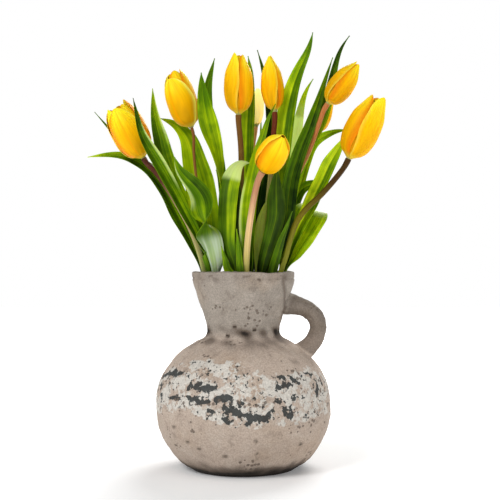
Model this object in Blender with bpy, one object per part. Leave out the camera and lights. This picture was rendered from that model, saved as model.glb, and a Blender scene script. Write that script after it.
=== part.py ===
"""A bunch of nine cut tulips standing in a stoneware jug with a flared neck and a loop handle."""

import math

import bmesh
import bpy
import numpy as np
from mathutils import Matrix, Vector

MM = 0.001

# The jug stands on z = 0 with its axis on z, and its handle is at +x. All sizes are in mm.
JUG_PROFILE = (  # outer radius and height, from the edge of the foot to the top of the neck
    (51.5, 0), (66, 10.5), (79, 28.5), (86, 47), (87, 62), (84, 82), (76, 100), (64, 113.5),
    (48, 124.5), (38.5, 130.5), (36.2, 137), (38.6, 150), (44.5, 167.5), (49.5, 181), (51, 186.5),
)
RIM_TOP = 195
JUG_WALL = 6
FLOOR_THICK = 8
FOOT_RADIUS = 51.5
JUG_SIDES = 32
JUG_ROWS = 15
WATER_SIDES = 16

HANDLE_LINE = (
    (40, 163.5), (52, 161.5), (63.5, 157.5), (71.5, 150), (74.6, 140), (72, 129), (65, 119.5), (57, 112),
)
HANDLE_THICK = 16.4
HANDLE_WIDE = 20
HANDLE_SIDES = 8

WATER_TOP = 110
CLEARANCE = 0.3
STEM_SIDES = 6
STEM_FOOT = FLOOR_THICK + CLEARANCE
NECK_HEIGHT = 132

LEAF_THICK = 0.9
NECK_HALF_WIDTH = 5  # of a leaf where it passes the rim
TEPAL_THICK = 0.9
TEPAL_STEP = 2.1  # from the outer petals in to the inner ones
TEPAL_HALF_ANGLE = 1.0
INNER_LENGTH = 0.97
ACROSS = 4

# Places on the flowers are given as a viewer 1.1 m in front of the jug sees them: two numbers for
# the place in a view of 500 by 500 units, where a unit on the jug's axis is 1 mm, and a depth in mm,
# which is negative in front of the axis.
VIEWER = Vector((6.7, -1100, 216.5))
VIEW_CENTRE = 250

# Each stem stands upright in the neck at "neck" (x and y) and then follows "line" to its bloom at "top".
STEMS = {
    "a": {"neck": (-25, -4), "radius": 2.6, "top": (143.5, 158, 4),
          "line": ((204, 271, -6), (199, 252, -6), (189, 226, -4), (173, 197.5, -1), (156, 172.5, 2))},
    "b": {"neck": (-17, 12), "radius": 2.2, "top": (191.5, 127.5, 10),
          "line": ((213, 271, 18), (206, 230, 17), (198, 190, 14), (194, 155, 11))},
    "c": {"neck": (-5, 4), "radius": 2.8, "top": (238.5, 115, 2),
          "line": ((236, 271, 6), (239, 225, 5), (241, 185, 4), (241, 150, 3))},
    "d": {"neck": (11, 8), "radius": 2.5, "top": (274.5, 112, 8),
          "line": ((259, 271, 9), (263, 235, 9), (268, 200, 8), (271.5, 165, 8), (273.5, 135, 8))},
    "e": {"neck": (2, -18), "radius": 3.1, "top": (262.5, 172.5, -36),
          "line": ((246, 271, -26), (247.5, 243, -28), (251, 215, -30), (255.5, 190, -33))},
    "f": {"neck": (16.5, -1.5), "radius": 2.3, "top": (328.5, 104, -5),
          "line": ((272, 271, -3), (279, 240, -1), (287, 208, 0), (294, 184, 0), (300.5, 165, 0),
                   (307.5, 150, -2), (310.2, 143.5, -3), (314.3, 132.5, -4), (318.8, 122, -4))},
    "g": {"neck": (23.5, -7), "radius": 2.8, "top": (348.5, 159, -26),
          "line": ((281.5, 270, -8), (285.5, 258, -10), (290, 240, -12), (296, 223, -13), (306, 209, -15),
                   (321, 195, -18), (336, 178, -22))},
    "h": {"neck": (0, 22), "radius": 2.2, "top": (256, 127, 34),
          "line": ((246, 271, 32), (249, 220, 33), (251, 175, 34), (252.8, 148, 34))},
    "i": {"neck": (13, 19), "radius": 2.4, "top": (318, 133, 37),
          "line": ((268, 271, 22), (281, 228, 27), (297, 188, 33), (309, 158, 36))},
}

# "axis" is the way that a bloom points, "tip" the radius at its tips as a share of the largest,
# and "turn" its turn about its own axis in degrees.
BLOOMS = {
    "a": {"axis": (-0.47, -0.1, 0.88), "length": 61, "radius": 17.4, "tip": 0.5, "turn": 99},
    "b": {"axis": (-0.33, 0, 0.94), "length": 61, "radius": 14.4, "tip": 0.42, "turn": 110},
    "c": {"axis": (0, 0, 1), "length": 62, "radius": 14.3, "tip": 0.34, "turn": 90},
    "d": {"axis": (-0.09, 0, 1), "length": 57, "radius": 11.2, "tip": 0.12, "turn": 85},
    "e": {"axis": (0.37, -0.45, 0.8), "length": 44, "radius": 14.2, "tip": 0.1, "turn": 113},
    "f": {"axis": (0.61, 0, 0.79), "length": 48, "radius": 12.2, "tip": 0.22, "turn": 96},
    "g": {"axis": (0.43, -0.05, 0.9), "length": 68, "radius": 17, "tip": 0.36, "turn": 115},
    "h": {"axis": (0.08, 0.1, 1), "length": 41, "radius": 9, "tip": 0.3, "turn": 0},
    "i": {"axis": (0.16, 0.1, 1), "length": 50, "radius": 11.5, "tip": 0.3, "turn": 50},
}
BLOOM_PROFILE = ((0.17, 0.02), (0.37, 0.06), (0.6, 0.1), (0.82, 0.18), (0.96, 0.3), (1, 0.45))  # shares
PETAL_WIDTHS = (
    (0, 0.16), (0.1, 0.5), (0.25, 0.84), (0.45, 1.08), (0.62, 1.04), (0.78, 0.82), (0.9, 0.5), (1, 0.08),
)  # share of the length, then of the bloom's radius
CORE_PROFILE = ((2.4, 0), (4.4, 2.5), (4.2, 6), (2, 8.5))  # radius and height, in mm

# Each leaf clasps its stem "low" mm above the table and follows "line" to its tip. "wide" is its full
# width, "faces" the ways that its upper side turns from the rim to the tip, "cup" the half angle of
# its trough and "wave" the height of the waves along its edges.
LEAVES = {
    "a": (
        {"low": 150, "wide": 18, "peak": 0.62, "cup": 0.5, "wave": 1.0,
         "faces": ((0.5, -0.75, 0.4), (0.1, -0.85, 0.5)),
         "line": ((203, 270, 2), (194, 249, 4), (184, 228, 5), (176, 213, 6), (170.5, 201, 7),
                  (163.5, 188, 6.5), (155, 176, 7.5), (146, 167.5, 10), (137, 161.5, 13), (126, 156.5, 14),
                  (112, 154.8, 13), (100, 155.6, 12), (87.5, 157.2, 10))},
        {"low": 158, "wide": 16, "cup": 0.6, "wave": 0.5, "faces": ((0.6, -0.8, 0.1), (0.7, -0.7, 0)),
         "line": ((210, 270, -14), (204, 252, -15), (196, 234, -15), (185, 213, -14), (174, 192, -15),
                  (164.5, 175, -18), (156.5, 161, -20), (149, 148.5, -22), (141.8, 135, -25),
                  (138, 123, -28), (135.5, 110, -30), (133, 98, -31))},
        {"low": 146, "wide": 28, "peak": 0.66, "cup": 0.85, "wave": 2.2,
         "faces": ((0.3, 1, 0.1), (-0.95, 0.1, 0.3), (-0.3, -1, 0.2), (-0.2, -1, 0.3)),
         "line": ((216, 270, -19), (213, 250, -25), (209, 235, -29), (206, 221, -32), (205.5, 209, -33),
                  (203, 198, -31), (196, 187.5, -29), (186.5, 178, -27), (179, 169, -26), (174.6, 157, -25))},
    ),
    "b": (
        {"low": 160, "wide": 10, "cup": 0.5, "wave": 0.5, "faces": ((0.5, -0.7, 0.5), (0.3, -0.6, 0.7)),
         "line": ((211, 270, 22), (199, 245, 26), (184, 220, 29), (167, 195, 30), (148, 172, 30),
                  (128, 150, 30), (110, 130, 29), (94.5, 112, 27))},
        {"low": 150, "wide": 25, "peak": 0.66, "cup": 0.45, "wave": 1.4,
         "faces": ((0.6, -0.8, 0.2), (0.45, -0.9, 0)),
         "line": ((210, 270, 13), (205, 250, 18), (195, 228, 22), (184, 207, 24), (174, 187, 24),
                  (167, 168, 21.5), (163, 154, 17), (160, 139, 12), (156.8, 126.5, 9), (154.3, 114, 7),
                  (153.2, 101.6, 6), (152.6, 88.5, 5))},
        {"low": 154, "wide": 27, "cup": 0.4, "wave": 1.4, "faces": ((0.1, -1, 0.2), (0, -0.85, 0.5)),
         "line": ((215, 270, 26), (208, 240, 27), (203, 210, 27), (198, 184, 26), (194.5, 160, 25),
                  (189, 141, 25), (181, 129.5, 25), (171, 122.5, 24), (159.8, 118.3, 21))},
    ),
    "c": (
        {"low": 148, "wide": 22, "peak": 0.8, "cup": 0.4, "wave": 0.8,
         "faces": ((0.9, -0.45, 0), (0.8, -0.6, 0), (0.15, -1, 0), (0.1, -1, 0)),
         "line": ((228, 270, 2), (226, 236, -1), (223.5, 204, -4), (221.2, 186, -6), (218.7, 170, -8),
                  (216.1, 155, -9), (213.2, 143, -10), (209.8, 132, -11), (207, 121, -11),
                  (204.9, 110, -12), (203.2, 98.5, -12), (201.7, 84, -12), (201.2, 72.5, -12))},
        {"low": 156, "wide": 15, "peak": 0.7, "cup": 0.5, "wave": 0.8,
         "faces": ((0.4, -1, 0), (0.4, -0.9, 0)),
         "line": ((231, 270, 11), (227, 235, 13), (221, 192, 13), (217.5, 165, 12), (213.5, 143, 10),
                  (208, 118, 8), (206.5, 100, 6), (207.9, 86, 5), (210, 75, 4), (212.3, 67, 3),
                  (214.6, 58.3, 2))},
        {"low": 152, "wide": 15, "peak": 0.6, "cup": 0.4, "wave": 0.8, "faces": ((0, -1, 0), (0.2, -1, 0)),
         "line": ((241, 270, 13), (243, 235, 15), (245.5, 200, 17), (246.3, 165, 18), (246.8, 140, 19),
                  (247.3, 122, 19), (248.3, 104, 19), (249.8, 86, 18), (250.3, 70, 18), (248, 56, 17))},
        {"low": 162, "wide": 15, "cup": 0.6, "wave": 1.0, "faces": ((0, 1, 0), (-0.2, 1, 0)),
         "line": ((241, 270, -5), (241, 240, -7), (240, 215, -8), (239, 195, -8), (238, 174, -7))},
    ),
    "d": (
        {"low": 150, "wide": 20, "cup": 0.5, "wave": 1.0, "faces": ((0, -1, 0), (0.3, -1, 0)),
         "line": ((258, 270, 19), (262, 235, 22), (267, 200, 24), (270, 165, 25), (272, 130, 25),
                  (269, 100, 24), (263, 70, 22), (257.3, 50, 20))},
        {"low": 158, "wide": 18, "peak": 0.62, "cup": 0.5, "wave": 0.8,
         "faces": ((-0.35, -0.95, 0), (-0.3, -0.95, 0)),
         "line": ((265, 270, 12), (269, 235, 13), (274, 205, 14), (279, 180, 14), (282, 155, 13),
                  (284, 135, 13), (286.5, 115, 13), (290.2, 97, 12.5), (293.5, 85, 11), (296.9, 75.5, 8),
                  (302.2, 63, 6), (306.8, 54.3, 5), (310.4, 44.5, 3), (312.8, 32.3, 2))},
        {"low": 150, "wide": 18, "peak": 0.6, "cup": 0.6, "wave": 1.0, "faces": ((0, 1, 0), (-0.1, 1, 0)),
         "line": ((262, 270, -9), (267, 250, -12), (271, 235, -14), (274.5, 218, -16), (275.8, 203, -16),
                  (275.5, 187, -16), (277, 168, -15))},
        {"low": 164, "wide": 10.5, "peak": 0.75, "cup": 0.6, "wave": 0.4,
         "faces": ((0.3, 1, 0), (0.2, 1, 0)),
         "line": ((257.5, 270, 2), (258, 250, 0), (259, 235, -1), (260.5, 222, -1), (263.5, 210, 0),
                  (267, 200, 1))},
    ),
    "e": (
        {"low": 150, "wide": 22, "peak": 0.76, "cup": 0.5, "wave": 1.2,
         "faces": ((0.3, 1, 0), (0.3, 1, 0), (0.2, 0.7, -0.6), (0.1, 0.6, -0.8)),
         "line": ((236, 270, -21), (231.5, 256, -22), (227.5, 243, -22), (226.5, 228, -22),
                  (226.5, 213, -21), (227.3, 198, -20), (229.3, 185, -18), (234, 174, -16), (241, 167, -13),
                  (249.5, 166.3, -10))},
        {"low": 156, "wide": 17, "cup": 0.5, "wave": 1.0, "faces": ((-0.2, -1, 0), (-0.2, -1, 0)),
         "line": ((250, 270, -20), (248.5, 250, -19), (247.5, 230, -18), (247.5, 212, -17), (249, 195, -17),
                  (252, 178, -16), (255.5, 162, -15), (258.5, 150, -15), (261.5, 140, -14),
                  (264.8, 130, -14), (267.9, 119, -13), (271.5, 112, -13), (275.5, 104, -12))},
        {"low": 164, "wide": 8, "cup": 0.6, "wave": 0.3, "faces": ((0.3, 1, 0), (0.2, 1, 0)),
         "line": ((240, 270, -31), (238.5, 250, -31), (236.5, 229, -30))},
        {"low": 168, "wide": 10.5, "peak": 0.35, "cup": 0.4, "wave": 0.3,
         "faces": ((0.1, 1, 0), (0.1, 1, 0)),
         "line": ((228, 270, -27), (225.5, 261, -29), (223, 253, -30), (221.5, 246, -30))},
    ),
    "f": (
        {"low": 148, "wide": 19, "peak": 0.55, "cup": 0.45, "wave": 1.0,
         "faces": ((0.2, -1, 0), (0.1, -0.95, 0)),
         "line": ((270.5, 270, 4), (275.5, 256, -1), (281.5, 240, -4), (286.5, 218, -7), (288.5, 196, -7),
                  (291.5, 177, -7), (295.7, 163, -7), (301.5, 146, -7), (306.5, 134.5, -7),
                  (310.3, 124.5, -5), (313.8, 114, -2), (317.5, 104, 1), (320.8, 94, 4), (323.8, 84, 6),
                  (326.7, 75.5, 7), (329.8, 66, 7), (332.8, 57.3, 7))},
        {"low": 158, "wide": 10, "cup": 0.6, "wave": 0.4, "faces": ((0, 1, 0), (-0.2, 1, 0)),
         "line": ((273, 270, -11), (277, 255, -16), (281.5, 240, -19), (287, 226, -20), (292.5, 211, -20))},
    ),
    "g": (
        {"low": 152, "wide": 35, "peak": 0.76, "cup": 0.3, "wave": 1.2,
         "faces": ((-0.6, -0.7, 0.3), (-0.3, -0.9, 0.3), (-0.2, -0.3, 0.9), (0, 0.9, 0.4)),
         "line": ((285, 268, -2), (292, 252, 2), (300, 235, 4), (307.5, 220, 7), (312, 212, 12),
                  (314, 209.5, 20), (314.5, 214, 30), (313.5, 222, 37))},
        {"low": 160, "wide": 19, "peak": 0.7, "cup": 0.4, "wave": 0.8,
         "faces": ((-0.4, -0.9, 0.2), (-0.45, -0.85, 0.25)),
         "line": ((287, 262, -4), (292, 245, -4), (298, 230, -5), (304.5, 217, -6), (310.5, 205, -7),
                  (316.5, 192, -8), (322, 181, -8), (326, 172, -9), (330, 163, -9), (336, 153, -9),
                  (341, 144, -9), (346, 136, -9))},
    ),
    "h": (
        {"low": 154, "wide": 9, "cup": 0.5, "wave": 0.4, "faces": ((0, -1, 0), (0, -1, 0)),
         "line": ((250, 270, 36), (254, 220, 42), (258, 175, 47), (260.5, 145, 49), (261, 113, 49))},
        {"low": 150, "wide": 20, "cup": 0.4, "wave": 1.8, "faces": ((0, -0.8, 0.4), (0, 0, 1)),
         "line": ((239, 270, 40), (232, 235, 50), (226, 205, 63), (221, 182, 80), (216, 170, 98))},
        {"low": 160, "wide": 18, "cup": 0.5, "wave": 1.2, "faces": ((0, -1, 0.3), (0, -1, 0.3)),
         "line": ((251, 270, 43), (257, 230, 54), (263, 190, 64), (268, 150, 72), (271, 120, 77))},
    ),
    "i": (
        {"low": 152, "wide": 19, "peak": 0.6, "cup": 0.5, "wave": 0.8,
         "faces": ((-0.2, -1, 0), (-0.3, -0.95, 0)),
         "line": ((266, 270, 29), (275, 235, 41), (284, 200, 48), (291, 165, 50), (295.5, 140, 50),
                  (298.3, 124, 50), (301, 108, 49), (304.5, 95, 47), (308.5, 86, 45), (313.3, 78.8, 43))},
        {"low": 158, "wide": 12, "cup": 0.5, "wave": 0.8, "faces": ((-0.1, -1, 0), (-0.3, -0.9, 0)),
         "line": ((277, 270, 20), (284, 235, 19), (291, 205, 17), (298, 175, 14), (306, 151, 10),
                  (311.3, 140, 8.5), (315.7, 132, 8), (320.3, 124, 8.5), (324, 114, 9.5), (328, 100, 11),
                  (331, 86, 12), (333.8, 72.5, 12), (336.3, 62, 11), (339.4, 52, 10), (343, 44.5, 9),
                  (349.6, 35.7, 8))},
        {"low": 164, "wide": 17, "peak": 0.72, "cup": 0.45, "wave": 0.8,
         "faces": ((-0.4, -0.9, 0.2), (0, -0.95, 0.3)),
         "line": ((273, 268, 29), (286, 240, 36), (295, 212, 40), (302, 186, 41), (307.5, 165, 39),
                  (313, 150, 36), (320, 140, 32), (326.5, 135, 27), (333.5, 132.2, 24), (341, 131, 21),
                  (349, 131.5, 18))},
        {"low": 150, "wide": 18, "peak": 0.7, "cup": 0.7, "wave": 0.6,
         "faces": ((-0.3, -0.9, 0.2), (0, -0.97, 0.2)),
         "line": ((273, 270, 14), (279, 248, 19), (285, 227, 23), (291, 208, 25), (296.5, 196, 24),
                  (303, 188, 20), (311, 184.5, 16), (320, 182, 12), (329, 177.3, 9))},
    ),
}


def clear_scene():
    for obj in list(bpy.data.objects):
        bpy.data.objects.remove(obj)


def seen_at(place):
    """The point in metres at a place in the view and a depth."""
    across, down, depth = place
    scale = (depth - VIEWER.y) / -VIEWER.y
    x = VIEWER.x + (across - VIEW_CENTRE) * scale
    z = VIEWER.z + (VIEW_CENTRE - down) * scale
    return np.array((x, depth, z)) * MM


def smooth_line(points, count):
    """Evenly spaced points on a Catmull-Rom curve through the given ones."""
    points = np.asarray(points, float)
    ends = np.vstack([2 * points[0] - points[1], points, 2 * points[-1] - points[-2]])
    t = np.linspace(0, 1, 12, endpoint=False)[:, None]
    pieces = []
    for a, b, c, d in zip(ends, ends[1:], ends[2:], ends[3:]):
        curve = 2 * b + (c - a) * t + (2 * a - 5 * b + 4 * c - d) * t**2 + (3 * b - a - 3 * c + d) * t**3
        pieces.append(curve / 2)
    fine = np.vstack(pieces + [points[-1:]])
    length = np.concatenate([[0], np.cumsum(np.linalg.norm(np.diff(fine, axis=0), axis=1))])
    wanted = np.linspace(0, length[-1], count)
    return np.stack([np.interp(wanted, length, fine[:, axis]) for axis in range(fine.shape[1])], axis=1)


def unit(vectors):
    return vectors / np.linalg.norm(vectors, axis=-1, keepdims=True)


def new_material(name, colour, roughness):
    material = bpy.data.materials.new(name)
    material.use_nodes = True
    shader = material.node_tree.nodes["Principled BSDF"]
    shader.inputs["Base Color"].default_value = (*colour, 1)
    shader.inputs["Roughness"].default_value = roughness
    shader.inputs["Metallic"].default_value = 0
    material.diffuse_color = (*colour, 1)
    return material


def new_object(name, vertices, faces, material, smooth=True):
    mesh = bpy.data.meshes.new(name)
    mesh.from_pydata([tuple(v) for v in vertices], [], faces)
    mesh.materials.append(material)
    if smooth:
        mesh.shade_smooth()
        mesh.set_sharp_from_angle(angle=math.radians(50))
    obj = bpy.data.objects.new(name, mesh)
    bpy.context.collection.objects.link(obj)
    return obj


def apply_modifiers(obj):
    depsgraph = bpy.context.evaluated_depsgraph_get()
    mesh = bpy.data.meshes.new_from_object(obj.evaluated_get(depsgraph))
    obj.modifiers.clear()
    obj.data = mesh


def boolean_with(obj, others, operation, solver="EXACT"):
    """Joins others to obj, or cuts them from it, in one step and then removes them."""
    group = bpy.data.collections.new(f"{obj.name}_{operation.lower()}")
    for other in others:
        group.objects.link(other)
    modifier = obj.modifiers.new(operation.title(), "BOOLEAN")
    modifier.operation = operation
    modifier.operand_type = "COLLECTION"
    modifier.collection = group
    modifier.solver = solver
    apply_modifiers(obj)
    for other in others:
        bpy.data.objects.remove(other)
    bpy.data.collections.remove(group)


def tube_mesh(line, radii, sides):
    """Vertices and faces of a closed tube of varying radius along a line."""
    tangent = unit(np.gradient(line, axis=0))
    across = unit(np.cross(tangent, (0, 1, 0)))
    other = np.cross(tangent, across)
    angle = np.arange(sides) * 2 * math.pi / sides
    ring = np.cos(angle)[:, None] * across[:, None] + np.sin(angle)[:, None] * other[:, None]
    vertices = (line[:, None] + ring * np.reshape(radii, (-1, 1, 1))).reshape(-1, 3)
    faces = [list(range(sides))[::-1]]
    for row in range(len(line) - 1):
        for side in range(sides):
            low, next_low = row * sides + side, row * sides + (side + 1) % sides
            faces.append([low, next_low, next_low + sides, low + sides])
    faces.append([(len(line) - 1) * sides + side for side in range(sides)])
    return vertices, faces


def sheet_mesh(middle, normal, thick):
    """Vertices and faces of a closed sheet around a grid of points (rows, columns, 3)."""
    rows, columns = middle.shape[:2]
    count = rows * columns
    offset = normal * thick / 2
    vertices = np.vstack([(middle + offset).reshape(-1, 3), (middle - offset).reshape(-1, 3)])
    faces = []
    for row in range(rows - 1):
        for column in range(columns - 1):
            a = row * columns + column
            b, c, d = a + 1, a + columns + 1, a + columns
            faces += [[a, b, c], [a, c, d]]
            faces += [[count + b, count + a, count + c], [count + c, count + a, count + d]]
    edge = (
        [column for column in range(columns - 1)]
        + [row * columns + columns - 1 for row in range(rows - 1)]
        + [(rows - 1) * columns + column for column in range(columns - 1, 0, -1)]
        + [row * columns for row in range(rows - 1, 0, -1)]
    )
    for here, there in zip(edge, edge[1:] + edge[:1]):
        faces.append([here, count + here, count + there, there])
    return vertices, faces


def jug_outline():
    """Radii and heights of the outer side in metres, from the foot to the rim."""
    line = smooth_line(JUG_PROFILE, JUG_ROWS) * MM
    line[0] = FOOT_RADIUS * MM, 0
    return np.vstack([line, [[JUG_PROFILE[-1][0] * MM, RIM_TOP * MM]]])


def inner_outline(gap=0.0):
    """The inner side, a wall's thickness inside the outer one and gap further in, from the floor up."""
    outer = jug_outline()
    tangent = unit(np.gradient(outer, axis=0))
    inward = np.stack([-tangent[:, 1], tangent[:, 0]], axis=1)
    inner = outer + inward * (JUG_WALL * MM + gap)
    floor = FLOOR_THICK * MM + gap
    first = int(np.argmax(inner[:, 1] > floor + 4 * MM))
    corner = inner[first, 0] - 7 * MM
    return np.vstack([[[corner, floor]], inner[first:-1:2], inner[-1:]])


def turned(name, outline, material, sides=JUG_SIDES):
    """A solid turned about z from an outline of radii and heights that runs from bottom to top."""
    bm = bmesh.new()
    ends = [(0, outline[0][1])] + [tuple(p) for p in outline] + [(0, outline[-1][1])]
    points = [bm.verts.new((radius, 0, height)) for radius, height in ends]
    edges = [bm.edges.new(pair) for pair in zip(points, points[1:])]
    bmesh.ops.spin(
        bm, geom=points + edges, cent=(0, 0, 0), axis=(0, 0, 1),
        angle=2 * math.pi, steps=sides, use_merge=True,
    )
    bmesh.ops.remove_doubles(bm, verts=bm.verts, dist=1e-6)
    bmesh.ops.recalc_face_normals(bm, faces=bm.faces)
    mesh = bpy.data.meshes.new(name)
    bm.to_mesh(mesh)
    bm.free()
    mesh.materials.append(material)
    obj = bpy.data.objects.new(name, mesh)
    bpy.context.collection.objects.link(obj)
    return obj


def make_handle(material):
    """The loop handle: an oval strap whose ends run into the neck and the shoulder."""
    line = smooth_line([(x, 0, z) for x, z in HANDLE_LINE], 13) * MM
    vertices, faces = tube_mesh(line, np.full(len(line), HANDLE_THICK / 2 * MM), HANDLE_SIDES)
    vertices[:, 1] *= HANDLE_WIDE / HANDLE_THICK
    return new_object("handle", vertices, faces, material)


def make_jug():
    material = new_material("stoneware", (0.27, 0.24, 0.22), 0.85)
    jug = turned("jug", jug_outline(), material)
    boolean_with(jug, [make_handle(material)], "UNION")
    inner = inner_outline()
    mouth = np.array([[inner[-1, 0] + 0.4 * MM, (RIM_TOP + 3) * MM]])
    hollow = turned("hollow", np.vstack([inner, mouth]), material)
    boolean_with(jug, [hollow], "DIFFERENCE")
    jug.data.shade_smooth()
    jug.data.set_sharp_from_angle(angle=math.radians(40))


def make_water():
    """Water up to the shoulder, with a plain hole for each stem."""
    material = new_material("water", (0.8, 0.88, 0.88), 0.05)
    inner = inner_outline(CLEARANCE * MM)
    below = inner[inner[:, 1] < WATER_TOP * MM]
    above = inner[len(below)]
    share = (WATER_TOP * MM - below[-1, 1]) / (above[1] - below[-1, 1])
    surface = below[-1] + share * (above - below[-1])
    water = turned("water", np.vstack([below, surface]), material, WATER_SIDES)
    holes = []
    for name, stem in STEMS.items():
        x, y = stem["neck"]
        line = np.array([(x, y, 0), (x, y, WATER_TOP + 5)]) * MM
        vertices, faces = tube_mesh(line, [(stem["radius"] + CLEARANCE) * MM] * 2, STEM_SIDES)
        holes.append(new_object(f"hole_{name}", vertices, faces, material))
    boolean_with(water, holes, "DIFFERENCE")


def stem_line(name):
    """Points along a stem in metres: its upright foot, its bend out of the neck and its run to the bloom."""
    stem = STEMS[name]
    x, y = stem["neck"]
    axis = unit(np.array(BLOOMS[name]["axis"], float))
    top = seen_at(stem["top"])
    free = [np.array((x, y, WATER_TOP + 4)) * MM, np.array((x, y, NECK_HEIGHT)) * MM]
    free += [seen_at(place) for place in stem["line"]]
    free += [top - axis * 7 * MM, top - axis * 2 * MM]
    foot = np.array((x, y, STEM_FOOT)) * MM
    return np.vstack([[foot], smooth_line(free, 12), [top - axis * CLEARANCE * MM]])


def stem_place(line, height):
    """The point of a stem at a height in metres."""
    return np.array([np.interp(height, line[:8, 2], line[:8, axis]) for axis in range(3)])


def leaf_widths(t, peak):
    """Share of the full width along a leaf: a clasping base, its widest at peak and a drawn-out tip."""
    rise = 0.4 + 0.6 * np.sin(np.pi / 2 * np.clip(t / peak, 0, 1)) ** 2
    fall = 1 - np.clip((t - peak) / (1 - peak), 0, 1) ** 1.35
    return rise * fall


def make_leaf(name, leaf, stem, material):
    """A trough-shaped blade that grows out of its stem, with waved edges."""
    low = leaf["low"] * MM
    root = stem_place(stem, low)
    upper = stem_place(stem, low + 14 * MM)
    first = seen_at(leaf["line"][0])
    outward = first - stem_place(stem, first[2])
    outward[2] = 0
    outward = unit(outward)
    line = [root, upper + outward * 3.6 * MM] + [seen_at(place) for place in leaf["line"]]
    length = np.sum(np.linalg.norm(np.diff(line, axis=0), axis=1))
    rows = int(np.clip(round(length / 0.023), 5, 8)) + 1
    line = smooth_line(line, rows)
    t = np.linspace(0, 1, rows)

    turns = np.vstack([-outward, -outward] + [np.array(face, float) for face in leaf["faces"]])
    stops = np.concatenate([[0, 0.15], np.linspace(0.35, 1, len(leaf["faces"]))])
    face = np.stack([np.interp(t, stops, turns[:, axis]) for axis in range(3)], axis=1)
    tangent = unit(np.gradient(line, axis=0))
    face = unit(face - tangent * np.sum(face * tangent, axis=1, keepdims=True))
    side = np.cross(tangent, face)

    half = leaf["wide"] / 2 * MM * leaf_widths(t, leaf.get("peak", 0.45))
    half = np.minimum(half, NECK_HALF_WIDTH * MM + 0.5 * np.maximum(line[:, 2] - RIM_TOP * MM, 0))
    half[0] = 1.6 * MM
    half[-1] = 0.5 * MM
    bend = np.interp(t, [0, 0.12, 0.4, 1], [0.6, 1.5, leaf["cup"], leaf["cup"]])
    u = np.linspace(-1, 1, (3 if leaf["wide"] < 13 else ACROSS) + 1)
    angle = bend[:, None] * u
    radius = (half / bend)[:, None]
    ripple = leaf["wave"] * MM * np.sin(2 * np.pi * (2.5 * t[:, None] + 0.35 * u)) * u**2
    ripple *= np.sin(np.pi * np.clip(t, 0, 1))[:, None]
    middle = (
        line[:, None]
        + side[:, None] * (radius * np.sin(angle))[..., None]
        + face[:, None] * (radius * (1 - np.cos(angle)) + ripple)[..., None]
    )
    normal = face[:, None] * np.cos(angle)[..., None] - side[:, None] * np.sin(angle)[..., None]
    vertices, faces = sheet_mesh(middle, normal, LEAF_THICK * MM)
    return new_object(name, vertices, faces, material)


def make_leafy_stem(name, material):
    line = stem_line(name)
    vertices, faces = tube_mesh(line, np.full(len(line), STEMS[name]["radius"] * MM), STEM_SIDES)
    stem = new_object(f"leafy_stem_{name}", vertices, faces, material)
    leaves = [make_leaf(f"leaf_{name}{i}", leaf, line, material) for i, leaf in enumerate(LEAVES[name])]
    boolean_with(stem, leaves, "UNION", "MANIFOLD")


def make_tepal(name, bloom, turn, inner, material):
    """One petal of a closed bloom: a strip of its egg-shaped side that narrows to the tip."""
    rows, columns = (6, ACROSS) if inner else (6, ACROSS + 1)
    tip = bloom["tip"]
    upper = ((0.83 + 0.25 * tip, 0.68), (0.45 + 0.6 * tip, 0.84), (tip, 1))
    profile = np.array(BLOOM_PROFILE + upper) * (bloom["radius"], bloom["length"])
    if inner:
        profile[:, 0] = np.maximum(profile[:, 0] - TEPAL_STEP, 1.2)
        profile[:, 1] *= INNER_LENGTH
    line = smooth_line(profile, rows) * MM
    s = np.linspace(0, 1, rows)
    half = bloom["radius"] * MM * np.interp(s, *zip(*PETAL_WIDTHS))
    u = np.linspace(-1, 1, columns)
    angle = turn + np.clip(half / line[:, 0], 0, TEPAL_HALF_ANGLE)[:, None] * u
    radius, height = line[:, :1], line[:, 1:]
    middle = np.stack([radius * np.cos(angle), radius * np.sin(angle), height + 0 * u], axis=-1)
    slope = unit(np.gradient(line, axis=0))
    normal = np.stack(
        [slope[:, 1:] * np.cos(angle), slope[:, 1:] * np.sin(angle), -slope[:, :1] + 0 * u], axis=-1
    )
    vertices, faces = sheet_mesh(middle, normal, TEPAL_THICK * MM)
    return new_object(name, vertices, faces, material)


def make_bloom(name, material):
    """Three outer and three inner petals on a small core that sits on the stem."""
    bloom = BLOOMS[name]
    core_line = np.array([(0, 0, height) for _, height in CORE_PROFILE]) * MM
    vertices, faces = tube_mesh(core_line, [radius * MM for radius, _ in CORE_PROFILE], STEM_SIDES)
    core = new_object(f"bloom_{name}", vertices, faces, material)
    tepals = []
    for i in range(6):
        turn = math.radians(bloom["turn"] + 60 * i)
        tepals.append(make_tepal(f"tepal_{name}{i}", bloom, turn, i % 2 == 1, material))
    boolean_with(core, tepals, "UNION", "MANIFOLD")
    axis = Vector(bloom["axis"]).normalized()
    turn = axis.to_track_quat("Z", "Y").to_matrix().to_4x4()
    core.data.transform(Matrix.Translation(Vector(seen_at(STEMS[name]["top"]))) @ turn)


clear_scene()
make_jug()
make_water()
leaf_green = new_material("leaf", (0.1, 0.26, 0.02), 0.5)
petal_yellow = new_material("petal", (0.85, 0.5, 0.0), 0.5)
for stem_name in STEMS:
    make_leafy_stem(stem_name, leaf_green)
    make_bloom(stem_name, petal_yellow)
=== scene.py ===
# A bunch of cut tulips standing in a stoneware jug: fine surfaces, finishes, light and camera.
import math

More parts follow.
